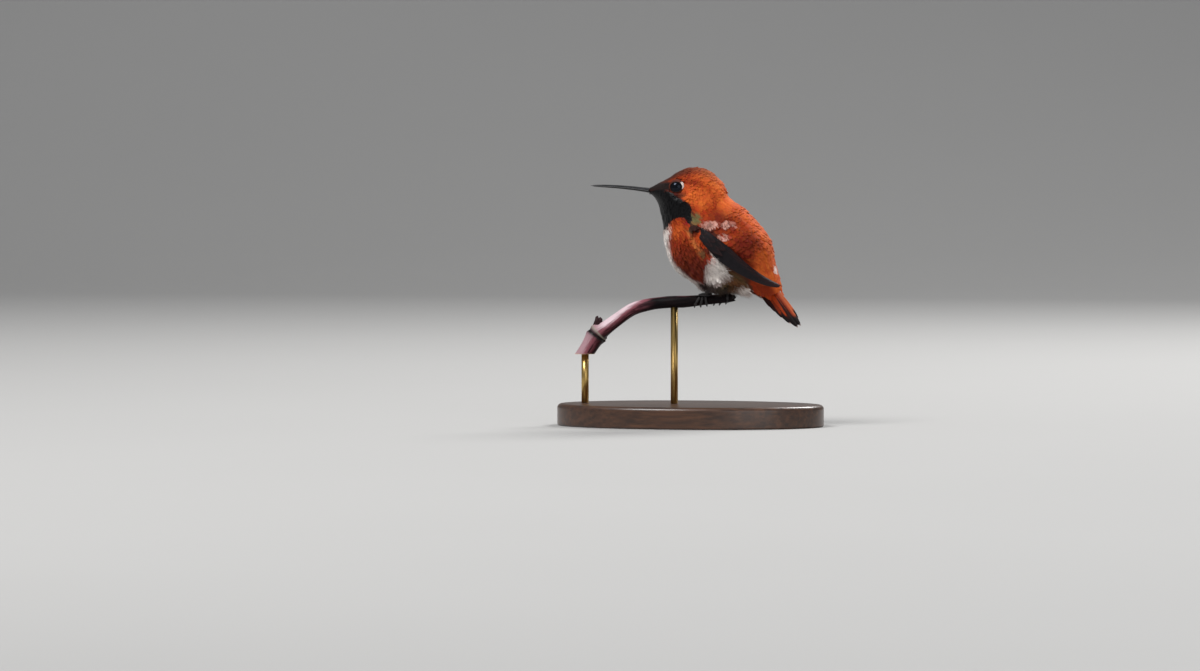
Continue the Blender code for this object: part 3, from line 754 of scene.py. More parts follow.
# The way the feathers lie: along the body, flat on the skin
lie = rotationZ(way, (0, 0), headAngles(straight))
normals = skinRead("normal")
wingShares = np.linspace(0, 1, len(wingLook["line"]))
halfWing = np.interp(wingPlace, wingShares, [row[3] for row in wingLook["line"]])
beyondWing = (np.abs(wingLane) - 1) * halfWing
coverReach = -0.2 + 1.4 * smooth(wingPlace, 0.38, 0.62)  # nothing grows under the closed wing
underWing = band(wingPlace, 0.10, 1.02, 0.02) * (beyondWing < coverReach) * band(wingHeight, -3.4, 2.2, 0.1)
underWing *= smooth(wingPlace, 0.17, 0.22)
besideWing = smooth(wingPlace, 0.02, 0.12) * (1 - smooth(beyondWing, 0.5, 3.5))
besideWing *= band(wingHeight, -2.5, 1.5, 0.3)
wingTuck = 1 - 0.35 * besideWing * smooth(wingPlace, 0.3, 0.7)
endCap = smooth(np.einsum("pi,pi->p", normals, way), 0.45, 0.7) * smooth(along, 12.5, 13.5)
lie = lie * (1 - 0.85 * besideWing)[:, None] + wingWay * (0.85 * besideWing)[:, None]
lie -= normals * np.einsum("pi,pi->p", lie, normals)[:, None]
lie /= np.linalg.norm(lie, axis=1)[:, None] + 1e-9
pointAttribute(skinMesh, "lie", lie, "FLOAT_VECTOR")
fallWay = np.array([0.25, 0.0, -0.97]) + ripple(1.9, 8)[:, None] * np.array([0.9, 0, 0])

eyeGap = np.ones(count)  # a bare ring where each lid sits
for where in eyeAt.values():
    flat = np.hypot(x - where.x + 0.2, z - where.z - 0.15)
    eyeGap *= smooth(np.hypot(flat, 0.5 * (straight[:, 1] - where.y * 1.35)), 1.45, 1.65)

mapAlong = (along + 0.5) / 15.5
mapRound = np.arctan2(straight[:, 1], (0.5 - down) * 14) / (2 * math.pi) + 0.5


def unwrapSkin():  # round the body by the angle, and along it by the ribs
    layer = skinMesh.uv_layers.new(name="OFBake")
    corner = np.empty(len(skinMesh.loops), np.int32)
    skinMesh.loops.foreach_get("vertex_index", corner)
    uv = np.column_stack([mapAlong, mapRound])[corner]
    for face in skinMesh.polygons:
        span = slice(face.loop_start, face.loop_start + face.loop_total)
        if np.ptp(uv[span, 1]) > 0.5:
            uv[span, 1] += uv[span, 1] < 0.5
    uv[:, 1] = 0.02 + uv[:, 1] * 0.9
    layer.data.foreach_set("uv", uv.astype(np.float32).ravel())


unwrapSkin()
skinMesh.materials.clear()
skinMesh.materials.append(skinMaterial)
skinMesh.shade_smooth()
print("skin marked and unwrapped")


# One closed feather, 1 long, from the root along +X
def featherPattern(name, width, barbs, fray, cup, droop, seed):
    chance = random.Random(seed)
    half = width / 2
    points, faces, alongs, edges = [], [], [], []

    def add(px, py, pz, e):
        points.append((px, py, pz))
        alongs.append(min(px, 1.0))
        edges.append(e)
        return len(points) - 1

    def height(px):
        return 0.035 * math.sin(px * math.pi * 0.8) - droop * px * px

    shaft = [0.0, 0.2, 0.42] + [0.42 + 0.50 * k / barbs for k in range(1, barbs + 1)]
    cells = len(shaft) - 1
    top = [add(px, 0, height(px) + 0.012, 0) for px in shaft]
    low = [add(px, 0, height(px) - 0.012, 0) for px in shaft]
    for sign in (1, -1):
        rim = []
        for k in range(cells):
            if k < 2:  # plain sides
                places = [((0.0, 0.08), (0.13, 0.40)), ((0.26, 0.66), (0.44, 0.93))][k]
            else:  # barbs that fan out round the tip
                dips = 1 - fray * chance.uniform(0.25, 0.75) * (k > 2)
                reaches = 1 - fray * 0.35 * chance.random()
                places = []
                for shift, r in ((0, dips), (0.5, reaches)):
                    a = math.radians(86) * (1 - (k - 2 + shift) / barbs)
                    places.append((0.56 + 0.44 * r * math.cos(a), r * math.sin(a)))
            for px, py in places:
                rim.append(add(px, sign * half * py, height(px) - cup * py * py, 0.6 if k < 2 else 1))
        rim.append(add(1.0 - fray * 0.2 * chance.random(), sign * 0.004, height(1), 1))
        for k in range(cells):
            a, b, c = rim[2 * k], rim[2 * k + 1], rim[2 * k + 2]
            for line, flip in ((top, sign < 0), (low, sign > 0)):
                for tri in ((line[k], a, b), (line[k], b, line[k + 1]), (line[k + 1], b, c)):
                    faces.append(tri[::-1] if not flip else tri)
    obj = meshObject(name, points, faces)
    work = opened(obj.data)
    bmesh.ops.holes_fill(work, edges=[e for e in work.edges if len(e.link_faces) == 1])
    bmesh.ops.recalc_face_normals(work, faces=work.faces)
    bmesh.ops.triangulate(work, faces=work.faces)
    writeBack(work, obj.data)
    obj.data.set_sharp_from_angle(angle=math.radians(70))
    pointAttribute(obj.data, "along", alongs)
    pointAttribute(obj.data, "edge", edges)
    return obj


def downPattern(name, strands, loose, seed):  # a puff of fine curved strands, 1 long
    chance = random.Random(seed)
    points, faces, alongs = [], [], []
    for _ in range(strands):
        yaw = chance.uniform(-0.55, 0.55) * loose
        rise = chance.uniform(0.05, 0.5) * loose
        bend = chance.uniform(-0.35, 0.35) * loose
        length = chance.uniform(0.6, 1.0)
        steps = 4
        start = len(points)
        for k in range(steps + 1):
            t = k / steps
            reach = t * length
            px = reach * math.cos(yaw + bend * t)
            py = reach * math.sin(yaw + bend * t)
            pz = rise * reach * (1 - 0.5 * t)
            thick = 0.014 * (1 - 0.7 * t)
            if k == steps:
                points.append((px, py, pz))
                alongs.append(1.0)
                break
            for angle in (0, 2.09, 4.19):
                points.append((px, py + thick * math.cos(angle), pz + thick * math.sin(angle)))
                alongs.append(t)
        faces.append((start + 2, start + 1, start))
        for k in range(steps - 1):
            for j in range(3):
                a, b = start + 3 * k + j, start + 3 * k + (j + 1) % 3
                faces += [(a, b, b + 3), (a, b + 3, a + 3)]
        tipAt = start + 3 * steps
        for j in range(3):
            faces.append((tipAt - 3 + j, tipAt - 3 + (j + 1) % 3, tipAt))
    obj = closedMesh(meshObject(name, points, faces))
    pointAttribute(obj.data, "along", alongs)
    pointAttribute(obj.data, "edge", [1.0] * len(points))
    return obj


patternLook = {  # how many of each, and their shape when the length is 1
    "small": {
        "number": 4, "width": 0.60, "barbs": 5, "fray": 0.20,
        "cup": 0.08, "droop": 0.03, "seed": 0,
    },
    "contour": {
        "number": 5, "width": 0.64, "barbs": 10, "fray": 0.20,
        "cup": 0.10, "droop": 0.03, "seed": 10,
    },
    "scale": {
        "number": 3, "width": 0.95, "barbs": 4, "fray": 0.08,
        "cup": 0.10, "droop": 0.04, "seed": 20,
    },
    "silky": {
        "number": 5, "width": 0.46, "barbs": 8, "fray": 0.70,
        "cup": 0.07, "droop": 0.03, "seed": 30,
    },
    "hair": {"number": 4, "strands": 8, "loose": 0.45, "seed": 60},
    "down": {"number": 4, "strands": 10, "loose": 1.0, "seed": 40},
}


def patternSet(name, number, seed, **shape):
    group = bpy.data.collections.new(name + "Patterns")
    make = downPattern if "strands" in shape else featherPattern
    for k in range(number):
        obj = make(f"{name}{k}", seed=seed + k, **shape)
        studio.collection.objects.unlink(obj)
        group.objects.link(obj)
    return group


patterns = {name: patternSet(name, **look) for name, look in patternLook.items()}
print("feather patterns made")


def buildCoatTree():
    tree = bpy.data.node_groups.new("coatOfFeathers", "GeometryNodeTree")
    tree.is_modifier = True
    face = tree.interface
    face.new_socket(name="Skin", in_out="INPUT", socket_type="NodeSocketGeometry")
    kinds = {"Patterns": "Collection", "Seed": "Int", "Finish": "Material"}
    for label in ("Patterns", "Gap", "Length", "Width", "Lift", "Ruffle", "Sink", "Seed", "Finish"):
        face.new_socket(name=label, in_out="INPUT", socket_type="NodeSocket" + kinds.get(label, "Float"))
    face.new_socket(name="Coat", in_out="OUTPUT", socket_type="NodeSocketGeometry")
    w = Wiring(tree)
    source, out = w.node("NodeGroupInput").outputs, w.node("NodeGroupOutput")

    def named(name, kind):
        return w.node("GeometryNodeInputNamedAttribute", {"Name": name}, data_type=kind).outputs[0]

    def chance(seedShift, low, high):
        made = w.node("FunctionNodeRandomValue", data_type="FLOAT")
        w.feed(made.inputs[2], low)
        w.feed(made.inputs[3], high)
        w.feed(made.inputs["Seed"], w.math("ADD", source["Seed"], seedShift))
        return made.outputs[1]

    def stored(geometry, name, value, kind, domain):
        inputs = {"Geometry": geometry, "Name": name}
        made = w.node("GeometryNodeStoreNamedAttribute", inputs, data_type=kind, domain=domain)
        w.feed(made.inputs["Value"], value)
        return made.outputs[0]

    def combined(*values):
        return w.node("ShaderNodeCombineXYZ", dict(enumerate(values))).outputs[0]

    scattering = {"Mesh": source["Skin"], "Distance Min": source["Gap"], "Seed": source["Seed"]}
    spread = w.node("GeometryNodeDistributePointsOnFaces", scattering, distribute_method="POISSON")
    spread.inputs["Density Max"].default_value = 4.0e7  # so high that the gap alone decides
    w.feed(spread.inputs["Density Factor"], named("cover", "FLOAT"))
    points = stored(spread.outputs["Points"], "chance", chance(7, 0.0, 1.0), "FLOAT", "POINT")
    depth = w.node("ShaderNodeVectorMath", {0: spread.outputs["Normal"]}, operation="SCALE")
    w.feed(depth.inputs["Scale"], w.math("MULTIPLY", source["Sink"], -1.0))
    sunk = w.node("GeometryNodeSetPosition", {"Geometry": points, "Offset": depth.outputs[0]})
    upright = w.node("FunctionNodeAlignRotationToVector", {"Vector": spread.outputs["Normal"]}, axis="Z")
    lieWay = {"Rotation": upright.outputs[0], "Vector": named("lie", "FLOAT_VECTOR")}
    laid = w.node("FunctionNodeAlignRotationToVector", lieWay, axis="X", pivot_axis="Z")
    ruffle = source["Ruffle"]
    roll = w.math("MULTIPLY", ruffle, chance(1, -1.0, 1.0))
    raised = w.math("MULTIPLY", source["Lift"], -1.0)
    raised = w.math("MULTIPLY_ADD", w.math("MULTIPLY", ruffle, chance(2, -0.5, 0.7)), -1.0, raised)
    swing = w.math("MULTIPLY", ruffle, chance(3, -1.0, 1.0))
    tilt = w.node("FunctionNodeEulerToRotation", {0: combined(roll, raised, swing)})
    turning = {"Rotation": laid.outputs[0], "Rotate By": tilt.outputs[0]}
    ready = w.node("FunctionNodeRotateRotation", turning, rotation_space="LOCAL")
    size = w.math("MULTIPLY", named("featherSize", "FLOAT"), chance(4, 0.82, 1.18))
    length = w.math("MULTIPLY", size, source["Length"])
    width = w.math("MULTIPLY", size, source["Width"])
    choices = {"Collection": source["Patterns"], "Separate Children": True, "Reset Children": True}
    choice = w.node("GeometryNodeCollectionInfo", choices)
    pick = w.node("FunctionNodeRandomValue", data_type="INT")
    w.feed(pick.inputs[5], 9)
    w.feed(pick.inputs["Seed"], w.math("ADD", source["Seed"], 5.0))
    placing = {"Points": sunk.outputs[0], "Instance": choice.outputs[0], "Pick Instance": True}
    placing.update({"Instance Index": pick.outputs[2], "Rotation": ready.outputs[0]})
    laidOut = w.node("GeometryNodeInstanceOnPoints", placing)
    w.feed(laidOut.inputs["Scale"], combined(length, width, length))
    real = w.node("GeometryNodeRealizeInstances", {"Geometry": laidOut.outputs[0]})
    acrossMap = w.math("MULTIPLY", named("edge", "FLOAT"), 0.0015)
    patch = combined(w.math("MULTIPLY", named("along", "FLOAT"), 0.003), acrossMap)
    place = w.node("ShaderNodeVectorMath", {0: named("rootPlace", "FLOAT_VECTOR"), 1: patch}, operation="ADD")
    mapped = stored(real.outputs[0], "OFBake", place, "FLOAT2", "CORNER")  # a small patch for each feather
    finish = w.node("GeometryNodeSetMaterial", {"Geometry": mapped, "Material": source["Finish"]})
    w.feed(out.inputs[0], finish)
    return tree


coatTree = buildCoatTree()
rootPlace = np.column_stack([mapAlong, 0.02 + 0.9 * mapRound, np.zeros(count)])


def growCoat(name, cover, size, options):
    source = shown("coatSource", skinMesh.copy())
    mesh = source.data
    if "fall" in options:  # these hang down over the wing
        pointAttribute(mesh, "lie", lie * (1 - options["fall"]) + fallWay * options["fall"], "FLOAT_VECTOR")
    pointAttribute(mesh, "cover", np.clip(cover * eyeGap, 0, 1))
    pointAttribute(mesh, "featherSize", np.broadcast_to(size, count))
    pointAttribute(mesh, "rootPlace", rootPlace, "FLOAT_VECTOR")
    modifier = source.modifiers.new("coat", "NODES")
    modifier.node_group = coatTree
    values = {
        "Patterns": patterns[options["pattern"]],
        "Gap": options["gap"] * mm,
        "Length": options["length"] * mm,
        "Width": options["width"] * mm,
        "Lift": math.radians(options["lift"]),
        "Ruffle": math.radians(options["ruffle"]),
        "Sink": options.get("sink", 0.05) * mm,
        "Seed": options["seed"],
        "Finish": coatMaterial,
    }
    for item in coatTree.interface.items_tree:
        if item.in_out == "INPUT" and item.name in values:
            modifier[item.identifier] = values[item.name]
    source.update_tag()
    bpy.context.view_layer.update()
    made = realMesh(source, name)
    bpy.data.objects.remove(source)
    for attribute in ("cover", "featherSize", "rootPlace", "lie"):
        if attribute in made.data.attributes:
            made.data.attributes.remove(made.data.attributes[attribute])
    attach(made, "root")
    print(" ", name, triangles(made.data), "triangles")


coatPlan = {  # the gap between roots, the size of a feather, and how it is raised and ruffled in degrees
    "featherFace": {
        "pattern": "small", "gap": 0.27, "length": 1.05, "width": 0.95,
        "lift": 8, "ruffle": 7, "seed": 1,
    },
    "featherCrown": {
        "pattern": "small", "gap": 0.34, "length": 1.5, "width": 1.3,
        "lift": 8, "ruffle": 6, "seed": 2, "sink": -0.08,
    },
    "featherGorget": {
        "pattern": "scale", "gap": 0.46, "length": 1.35, "width": 1.2,
        "lift": 9, "ruffle": 5, "seed": 3,
    },
    "featherNape": {
        "pattern": "contour", "gap": 0.46, "length": 2.3, "width": 1.9,
        "lift": 8, "ruffle": 6, "seed": 4, "sink": -0.1,
    },
    "featherBack": {
        "pattern": "contour", "gap": 0.56, "length": 3.2, "width": 2.6,
        "lift": 5.5, "ruffle": 5, "seed": 5,
    },
    "featherBreast": {
        "pattern": "silky", "gap": 0.46, "length": 2.7, "width": 2.3,
        "lift": 5, "ruffle": 7, "seed": 6,
    },
    "featherBelly": {
        "pattern": "silky", "gap": 0.50, "length": 3.0, "width": 2.8,
        "lift": 7, "ruffle": 11, "seed": 7,
    },
    "featherRump": {
        "pattern": "contour", "gap": 0.52, "length": 3.0, "width": 2.3,
        "lift": 5, "ruffle": 6, "seed": 8,
    },
    "featherUndertail": {
        "pattern": "silky", "gap": 0.50, "length": 3.2, "width": 2.8,
        "lift": 4, "ruffle": 9, "seed": 9,
    },
    "featherFlank": {
        "pattern": "down", "gap": 0.44, "length": 3.5, "width": 3.2,
        "lift": 9, "ruffle": 12, "seed": 10,
    },
    "featherLeg": {
        "pattern": "down", "gap": 0.55, "length": 4.0, "width": 2.8,
        "lift": 16, "ruffle": 20, "seed": 14, "fall": 0.9,
    },
    "featherScapular": {
        "pattern": "silky", "gap": 0.50, "length": 3.0, "width": 2.2,
        "lift": 9, "ruffle": 9, "seed": 11, "fall": 0.6,
    },
    "featherSilk": {
        "pattern": "hair", "gap": 0.80, "length": 2.6, "width": 1.6,
        "lift": 3, "ruffle": 4, "seed": 13, "sink": -0.12,
    },
    "featherTuft": {
        "pattern": "hair", "gap": 0.34, "length": 3.3, "width": 3.0,
        "lift": 14, "ruffle": 15, "seed": 12, "fall": 0.75,
    },
}
notGorget = (gorget < 0.5).astype(float)
notTufted = (flank < 0.3) * (scapulars < 0.3)
covers = {
    "featherFace": band(along, -1, 3.3, 0.2) * notGorget,
    "featherCrown": (along > 3.1) * (along < 5.9) * (down < 0.75) * notGorget,
    "featherGorget": (gorget >= 0.42).astype(float),
    "featherNape": (along >= 5.6) * (along < 7.9) * (down < 0.62) * notGorget,
    "featherBack": (along >= 7.7) * (along < 11.6) * (down < 0.60),
    "featherBreast": (along >= 2.8) * (along < 8.6) * (down >= 0.58) * notGorget,
    "featherBelly": (along >= 8.4) * (along < 11.8) * (down >= 0.58),
    "featherRump": (along >= 11.4) * (down < 0.56),
    "featherUndertail": (along >= 11.6) * (down >= 0.54),
    "featherFlank": (flank > 0.3).astype(float),
    "featherLeg": band(x, 1.4, 15.2, 0.2) * (z < 40.2),
    "featherScapular": (scapulars > 0.35).astype(float),
    "featherTuft": (scapulars > 0.5).astype(float),
    "featherSilk": (along >= 3.4) * (along < 10.0) * (down >= 0.56) * notGorget * notTufted,
}
sizes = {
    "featherFace": 0.55 + 0.45 * smooth(along, 0.5, 3.5),
    "featherGorget": 0.62 + 0.38 * smooth(along, 1.0, 3.5),
    "featherCrown": 0.85 + 0.3 * smooth(along, 3.2, 5.8),
    "featherRump": 1 - 0.2 * smooth(along, 12.2, 13.6),
    "featherUndertail": 1 - 0.25 * smooth(along, 12.4, 13.8),
    "featherFlank": 1.18 - 0.62 * smooth(z, 43.0, 39.5),
}
inSight = (1 - underWing) * (1 - endCap)
for name, options in coatPlan.items():
    growCoat(name, covers[name] * inSight, sizes.get(name, 1.0) * wingTuck, options)
print("coat grown")


# A closed flight feather along a path, with a raised shaft and a shallow arch
def vane(path, across, outward, widths, thick=0.07, arch=0.10, quill=0.07):
    steps, columns = len(path), 7
    offsets = np.linspace(-1, 1, columns)
    points, faces, alongs, edges = [], [], [], []
    for layer in (1, -1):
        for i in range(steps):
            t = i / (steps - 1)
            for c in offsets:
                lift = -arch * widths[i] * c * c
                body = thick / 2 * (1 - c * c * 0.9) * layer
                shaft = quill * (1 - 0.8 * t) * math.exp(-((c / 0.12) ** 2)) * layer
                points.append(path[i] + across[i] * widths[i] / 2 * c + outward[i] * (lift + body + shaft))
                alongs.append(t)
                edges.append(c)
    half = steps * columns
    for i in range(steps - 1):
        for j in range(columns - 1):
            a = i * columns + j
            quad = (a, a + 1, a + columns + 1, a + columns)
            faces.append(quad)
            faces.append(tuple(half + v for v in quad[::-1]))
    rim = [i * columns for i in range(steps)] + list(range(half - columns + 1, half))
    rim += [i * columns + columns - 1 for i in range(steps - 2, -1, -1)] + list(range(columns - 2, 0, -1))
    for a, b in zip(rim, rim[1:] + rim[:1]):
        faces.append((b, a, a + half, b + half))
    return np.array(points), faces, alongs, edges


def joinVanes(name, vanes, material, extra):
    points, faces, values = [], [], {key: [] for key in ("along", "edge", *extra)}
    start = 0
    for (p, f, a, e), tags in vanes:
        points.append(p)
        faces += [tuple(v + start for v in face) for face in f]
        values["along"] += a
        values["edge"] += e
        for key in extra:
            values[key] += [tags[key]] * len(p)
        start += len(p)
    obj = closedMesh(meshObject(name, np.concatenate(points) * mm, faces, material))
    obj.data.set_sharp_from_angle(angle=math.radians(50))
    for key, row in values.items():
        pointAttribute(obj.data, key, row)
    return obj


def buildVaneGroup():  # barbs that run out from the shaft, and the shaft itself
    inputs = [("along", "Float", 0.5), ("edge", "Float", 0.0), ("length", "Float", 30.0)]
    inputs.append(("Place", "Vector", None))
    outputs = [("Barbs", "Float"), ("Shaft", "Float"), ("Height", "Float")]
    tree, w, source, out = shaderGroup("vaneBarbs", inputs, outputs)
    get = source.outputs
    away = w.math("ABSOLUTE", get["edge"])
    phase = w.math("SUBTRACT", w.math("MULTIPLY", get["along"], get["length"]), w.math("MULTIPLY", away, 1.4))
    wave = w.math("SINE", w.math("MULTIPLY", phase, 26.0))
    barbs = w.math("MULTIPLY_ADD", wave, 0.5, 0.5)
    worn = w.ramp(w.noise(get["Place"], 1500.0, 3.0), 0.3, 0.7, 0.3, 1.0)
    w.feed(out.inputs["Barbs"], w.math("MULTIPLY", barbs, worn))
    shaft = w.math("SUBTRACT", 1.0, w.ramp(away, 0.04, 0.14, 0.0, 1.0))
    w.feed(out.inputs["Shaft"], shaft)
    w.feed(out.inputs["Height"], w.math("ADD", w.math("MULTIPLY", barbs, 0.35), shaft))
    return tree


vaneGroup = buildVaneGroup()


def quillMaterial(name, finish, length):  # with the barbs' group already fed
    made, w, shader, place = newMaterial(name, finish)
    use = w.node("ShaderNodeGroup", {"Place": place, "length": length}, node_tree=vaneGroup)
    along, edge = attributeSocket(w, "along"), attributeSocket(w, "edge")
    w.feed(use.inputs["along"], along)
    w.feed(use.inputs["edge"], edge)
    addBump(w, shader, use.outputs["Height"], 0.25, 0.00005)
    return made, w, shader, place, use.outputs, along, edge


def wingMaterial():
    finish = {"Roughness": 0.65, "Specular IOR Level": 0.15}
    made, w, shader, _, vaneMasks, along, edge = quillMaterial("duskyQuills", finish, 30.0)
    colour = w.mix(vaneMasks["Barbs"], linear(15, 12, 16), linear(30, 24, 28))
    rimLight = w.ramp(w.math("MULTIPLY", edge, -1.0), 0.80, 1.0, 0.0, 0.22)
    colour = w.mix(rimLight, colour, linear(74, 56, 50))
    colour = w.mix(w.ramp(along, 0.75, 1.0, 0.0, 0.4), colour, linear(60, 32, 30))
    colour = w.mix(w.math("MULTIPLY", vaneMasks["Shaft"], 0.8), colour, linear(14, 11, 12))
    w.feed(shader.inputs["Base Color"], colour)
    return made


def tailMaterial():
    finish = {"Roughness": 0.75, "Specular IOR Level": 0.08}
    made, w, shader, place, vaneMasks, along, edge = quillMaterial("tailQuills", finish, 20.0)
    pair, hand = attributeSocket(w, "pair"), attributeSocket(w, "hand")
    wobble = w.math("MULTIPLY_ADD", w.noise(place, 900.0, 2.0), 0.10, -0.05)
    away = w.math("ABSOLUTE", edge)
    outer = w.math("MULTIPLY", w.math("MULTIPLY", edge, hand), -1.0)
    colour = w.mix(vaneMasks["Barbs"], linear(146, 46, 14), linear(190, 72, 24))
    spread = w.math("MULTIPLY_ADD", w.math("POWER", along, 3.0), 0.75, 0.06)
    streak = w.math("LESS_THAN", w.math("ADD", away, wobble), spread)
    streak = w.math("MULTIPLY", streak, w.ramp(along, 0.36, 0.60, 0.0, 0.95))
    edgeward = w.math("ADD", outer, w.math("MULTIPLY_ADD", along, 0.55, wobble))
    margin = w.math("MULTIPLY", w.ramp(edgeward, 0.52, 0.62, 0.0, 1.0), w.ramp(pair, 0.5, 1.5, 0.0, 0.96))
    farHand = w.ramp(hand, -0.5, 0.5, 0.0, 1.0)
    farRoot = w.math("MULTIPLY", farHand, w.ramp(along, 0.45, 0.75, 1.0, 0.0))
    margin = w.math("MULTIPLY", margin, w.math("SUBTRACT", 1.0, farRoot))
    darkTip = w.ramp(w.math("ADD", along, wobble), 0.74, 0.84, 0.0, 1.0)
    # painted highlight: the far-side feathers' outer margins lit pale orange short of the tips, their dark
    # margins spared there
    farHighlight = w.math("MULTIPLY", farHand, w.ramp(along, 0.80, 0.88, 1.0, 0.0))
    dark = w.math("MAXIMUM", w.math("MAXIMUM", darkTip, streak), margin)
    spared = w.math("MULTIPLY", farHighlight, w.ramp(outer, -0.3, 0.2, 0.0, 0.9))
    dark = w.math("MULTIPLY", dark, w.math("SUBTRACT", 1.0, spared))
    colour = w.mix(dark, colour, linear(20, 13, 14))
    paintedHighlight = w.math("MULTIPLY", farHighlight, w.ramp(outer, 0.1, 0.9, 0.0, 0.6))
    colour = w.mix(paintedHighlight, colour, linear(222, 120, 70))
    fringe = w.math("MULTIPLY", w.ramp(along, 0.965, 0.99, 0.0, 1.0), w.ramp(pair, 0.0, 2.0, 0.35, 0.95))
    colour = w.mix(fringe, colour, linear(214, 184, 176))
    w.feed(shader.inputs["Base Color"], colour)
    return made


# The lanes say where across the wing the vane lies: at its root, part of the way out and at the tip
def wingVane(side, start, end, lanes, width, height, steps=26, blunt=2.6):
    path, acrossWays, outWays, widths = [], [], [], []
    for i in range(steps):
        t = i / (steps - 1)
        place = start + (end - start) * t
        centre, across, outward, halfWidth, halfThick = wingFrame(place, side)
        lane = float(np.interp(place, (start, 0.42, 1.0), lanes))
        sunk = wingLook["rootSink"] * (1 - float(smooth(place, 0.06, 0.25)))
        rise = halfThick * (1 - 0.35 * lane * lane) * 0.6 + height - sunk
        path.append(centre + across * halfWidth * lane + outward * rise)
        acrossWays.append(across)
        outWays.append(outward)
        body = min(1.0, 0.55 + 1.2 * t)
        tipShape = max(1 - max((t - 0.72) / 0.28, 0) ** blunt, 0.0) ** 0.5
        widths.append(max(width * body * tipShape, 0.10))
    return vane(path, acrossWays, outWays, widths)


def makeWing(side, name):
    vanes = []
    for k, end in enumerate(wingLook["tips"]):
        end *= wingLook["tuck"][side]
        inner = k / (len(wingLook["tips"]) - 1)
        lanes = (0.10 + 0.45 * inner, -0.34 + 0.96 * inner, -0.50 + 1.13 * inner)
        width = wingLook["width"] * (1 - 0.12 * inner)
        built = wingVane(side, 0.06, end, lanes, width, (k - 4.5) * wingLook["layer"])
        vanes.append((built, {"pair": float(k)}))
    for row, (start, end, number, width) in enumerate(wingLook["coverts"]):
        for k in range(number):
            lane = -0.42 + 1.17 * k / (number - 1)
            lanes = (0.35 + lane * 0.35, lane * 0.9, lane)
            tip, height = end + 0.03 * math.sin(k * 1.7), 0.40 + 0.10 * row + 0.02 * k
            built = wingVane(side, start, tip, lanes, width, height, 10, 1.8)
            vanes.append((built, {"pair": 12.0 + row}))
    return joinVanes(name, vanes, duskyQuills, ("pair",))


duskyQuills = wingMaterial()
wingLeft = makeWing(left, "wingLeft")
wingRight = makeWing(right, "wingRight")
for wing, names in ((wingLeft, wingNodes[left]), (wingRight, wingNodes[right])):
    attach(wing, "root")
    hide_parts(*names)
print("wings made")

tailLook = {
    "lengths": (20.2, 18.4, 16.2, 14.0, 12.2),
    "widths": (4.0, 3.8, 3.5, 3.2, 2.9),
    "fan": 4.3,
    "fanStart": 2.0,
    "farFan": 3.8,  # the far half stays closed behind its outer feather
    "drop": 0.11,
}


def makeTail():
    vanes = []
    for pair in range(5):
        for side in (left, right):
            spread = tailLook["fan"] * pair if side == left else tailLook["farFan"] * (pair > 0)
            angle = math.radians(tailLook["fanStart"] + spread) * side
            steps = 24
            length, width = tailLook["lengths"][pair], tailLook["widths"][pair]
            direction = tailAlong * math.cos(angle) + np.array([0, math.sin(angle), 0])
            acrossWay = np.cross(tailAbove, direction) * -1
            path, widths = [], []
            for i in range(steps):
                t = i / (steps - 1)
                sag = -0.25 * t * t * pair / 4
                below = tailLook["drop"] * pair - 0.18 - 0.02 * side - sag
                path.append(np.array(pose["tailRoot"]) + direction * length * t - tailAbove * below)
                swell = 0.55 + 0.45 * float(smooth(t / 0.5))
                tipShape = max(1 - max((t - 0.62) / 0.38, 0) ** 2.0, 0.0) ** 0.62
                widths.append(max(width * swell * tipShape, 0.12))
            ways = ([acrossWay] * steps, [tailAbove] * steps)
            points, *rest = vane(path, *ways, widths, thick=0.08, arch=0.06, quill=0.08)
            vanes.append(((posed(points), *rest), {"pair": float(pair), "hand": float(side)}))
    return joinVanes("tailFan", vanes, tailMaterial(), ("pair", "hand"))


tail = makeTail()
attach(tail, "root")
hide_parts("tail")
print("tail made")


def eyeMaterial():
    finish = {"Roughness": 0.16, "IOR": 1.38, "Specular IOR Level": 0.42}
    finish["Specular Tint"] = (*linear(196, 210, 240), 1.0)
    made, w, shader, place = newMaterial("wetEye", finish)
    share = w.ramp(w.noise(place, 1200.0, 2.0), 0.4, 0.7, 0.0, 1.0)
    w.feed(shader.inputs["Base Color"], w.mix(share, linear(3, 4, 7), linear(9, 9, 13)))
    return made


def lidMaterial():
    made, w, shader, place = newMaterial("eyelid", {"Roughness": 0.7, "Specular IOR Level": 0.2})
    cells = w.node("ShaderNodeTexVoronoi", {"Vector": place, "Scale": 5200.0}).outputs["Distance"]
    rim = w.mix(w.ramp(cells, 0.0, 0.6, 0.0, 1.0), linear(40, 24, 20), linear(14, 10, 10))
    outer = w.mix(attributeSocket(w, "pale"), linear(84, 30, 14), linear(250, 240, 232))
    colour = w.mix(w.ramp(attributeSocket(w, "ringPlace"), 0.08, 0.22, 0.0, 1.0), rim, outer)
    w.feed(shader.inputs["Base Color"], colour)
    addBump(w, shader, cells, 0.5, 0.00004, invert=True)
    return made


def hornMaterial(name, base, streak, roughness):
    made, w, shader, place = newMaterial(name, {})
    stretch = w.node("ShaderNodeMapping", {"Vector": place, "Scale": (120.0, 2600.0, 2600.0)})
    grain = w.noise(stretch, 1.0, 4.0)
    share = w.ramp(grain, 0.35, 0.7, 0.0, 1.0)
    w.feed(shader.inputs["Base Color"], w.mix(share, base, streak))
    w.feed(shader.inputs["Roughness"], w.math("MULTIPLY_ADD", share, 0.15, roughness))
    addBump(w, shader, grain, 0.25, 0.00003)
    return made


eyeLook = {
    "ball": 2.2,
    "opening": (1.48, 1.22),  # half the width and height of the part that shows
    "lidEdge": 74.0,  # how far the lid runs round the ball, in degrees
    "lidThick": 0.13,
    "outward": (-0.20, 1.0, 0.12),
}


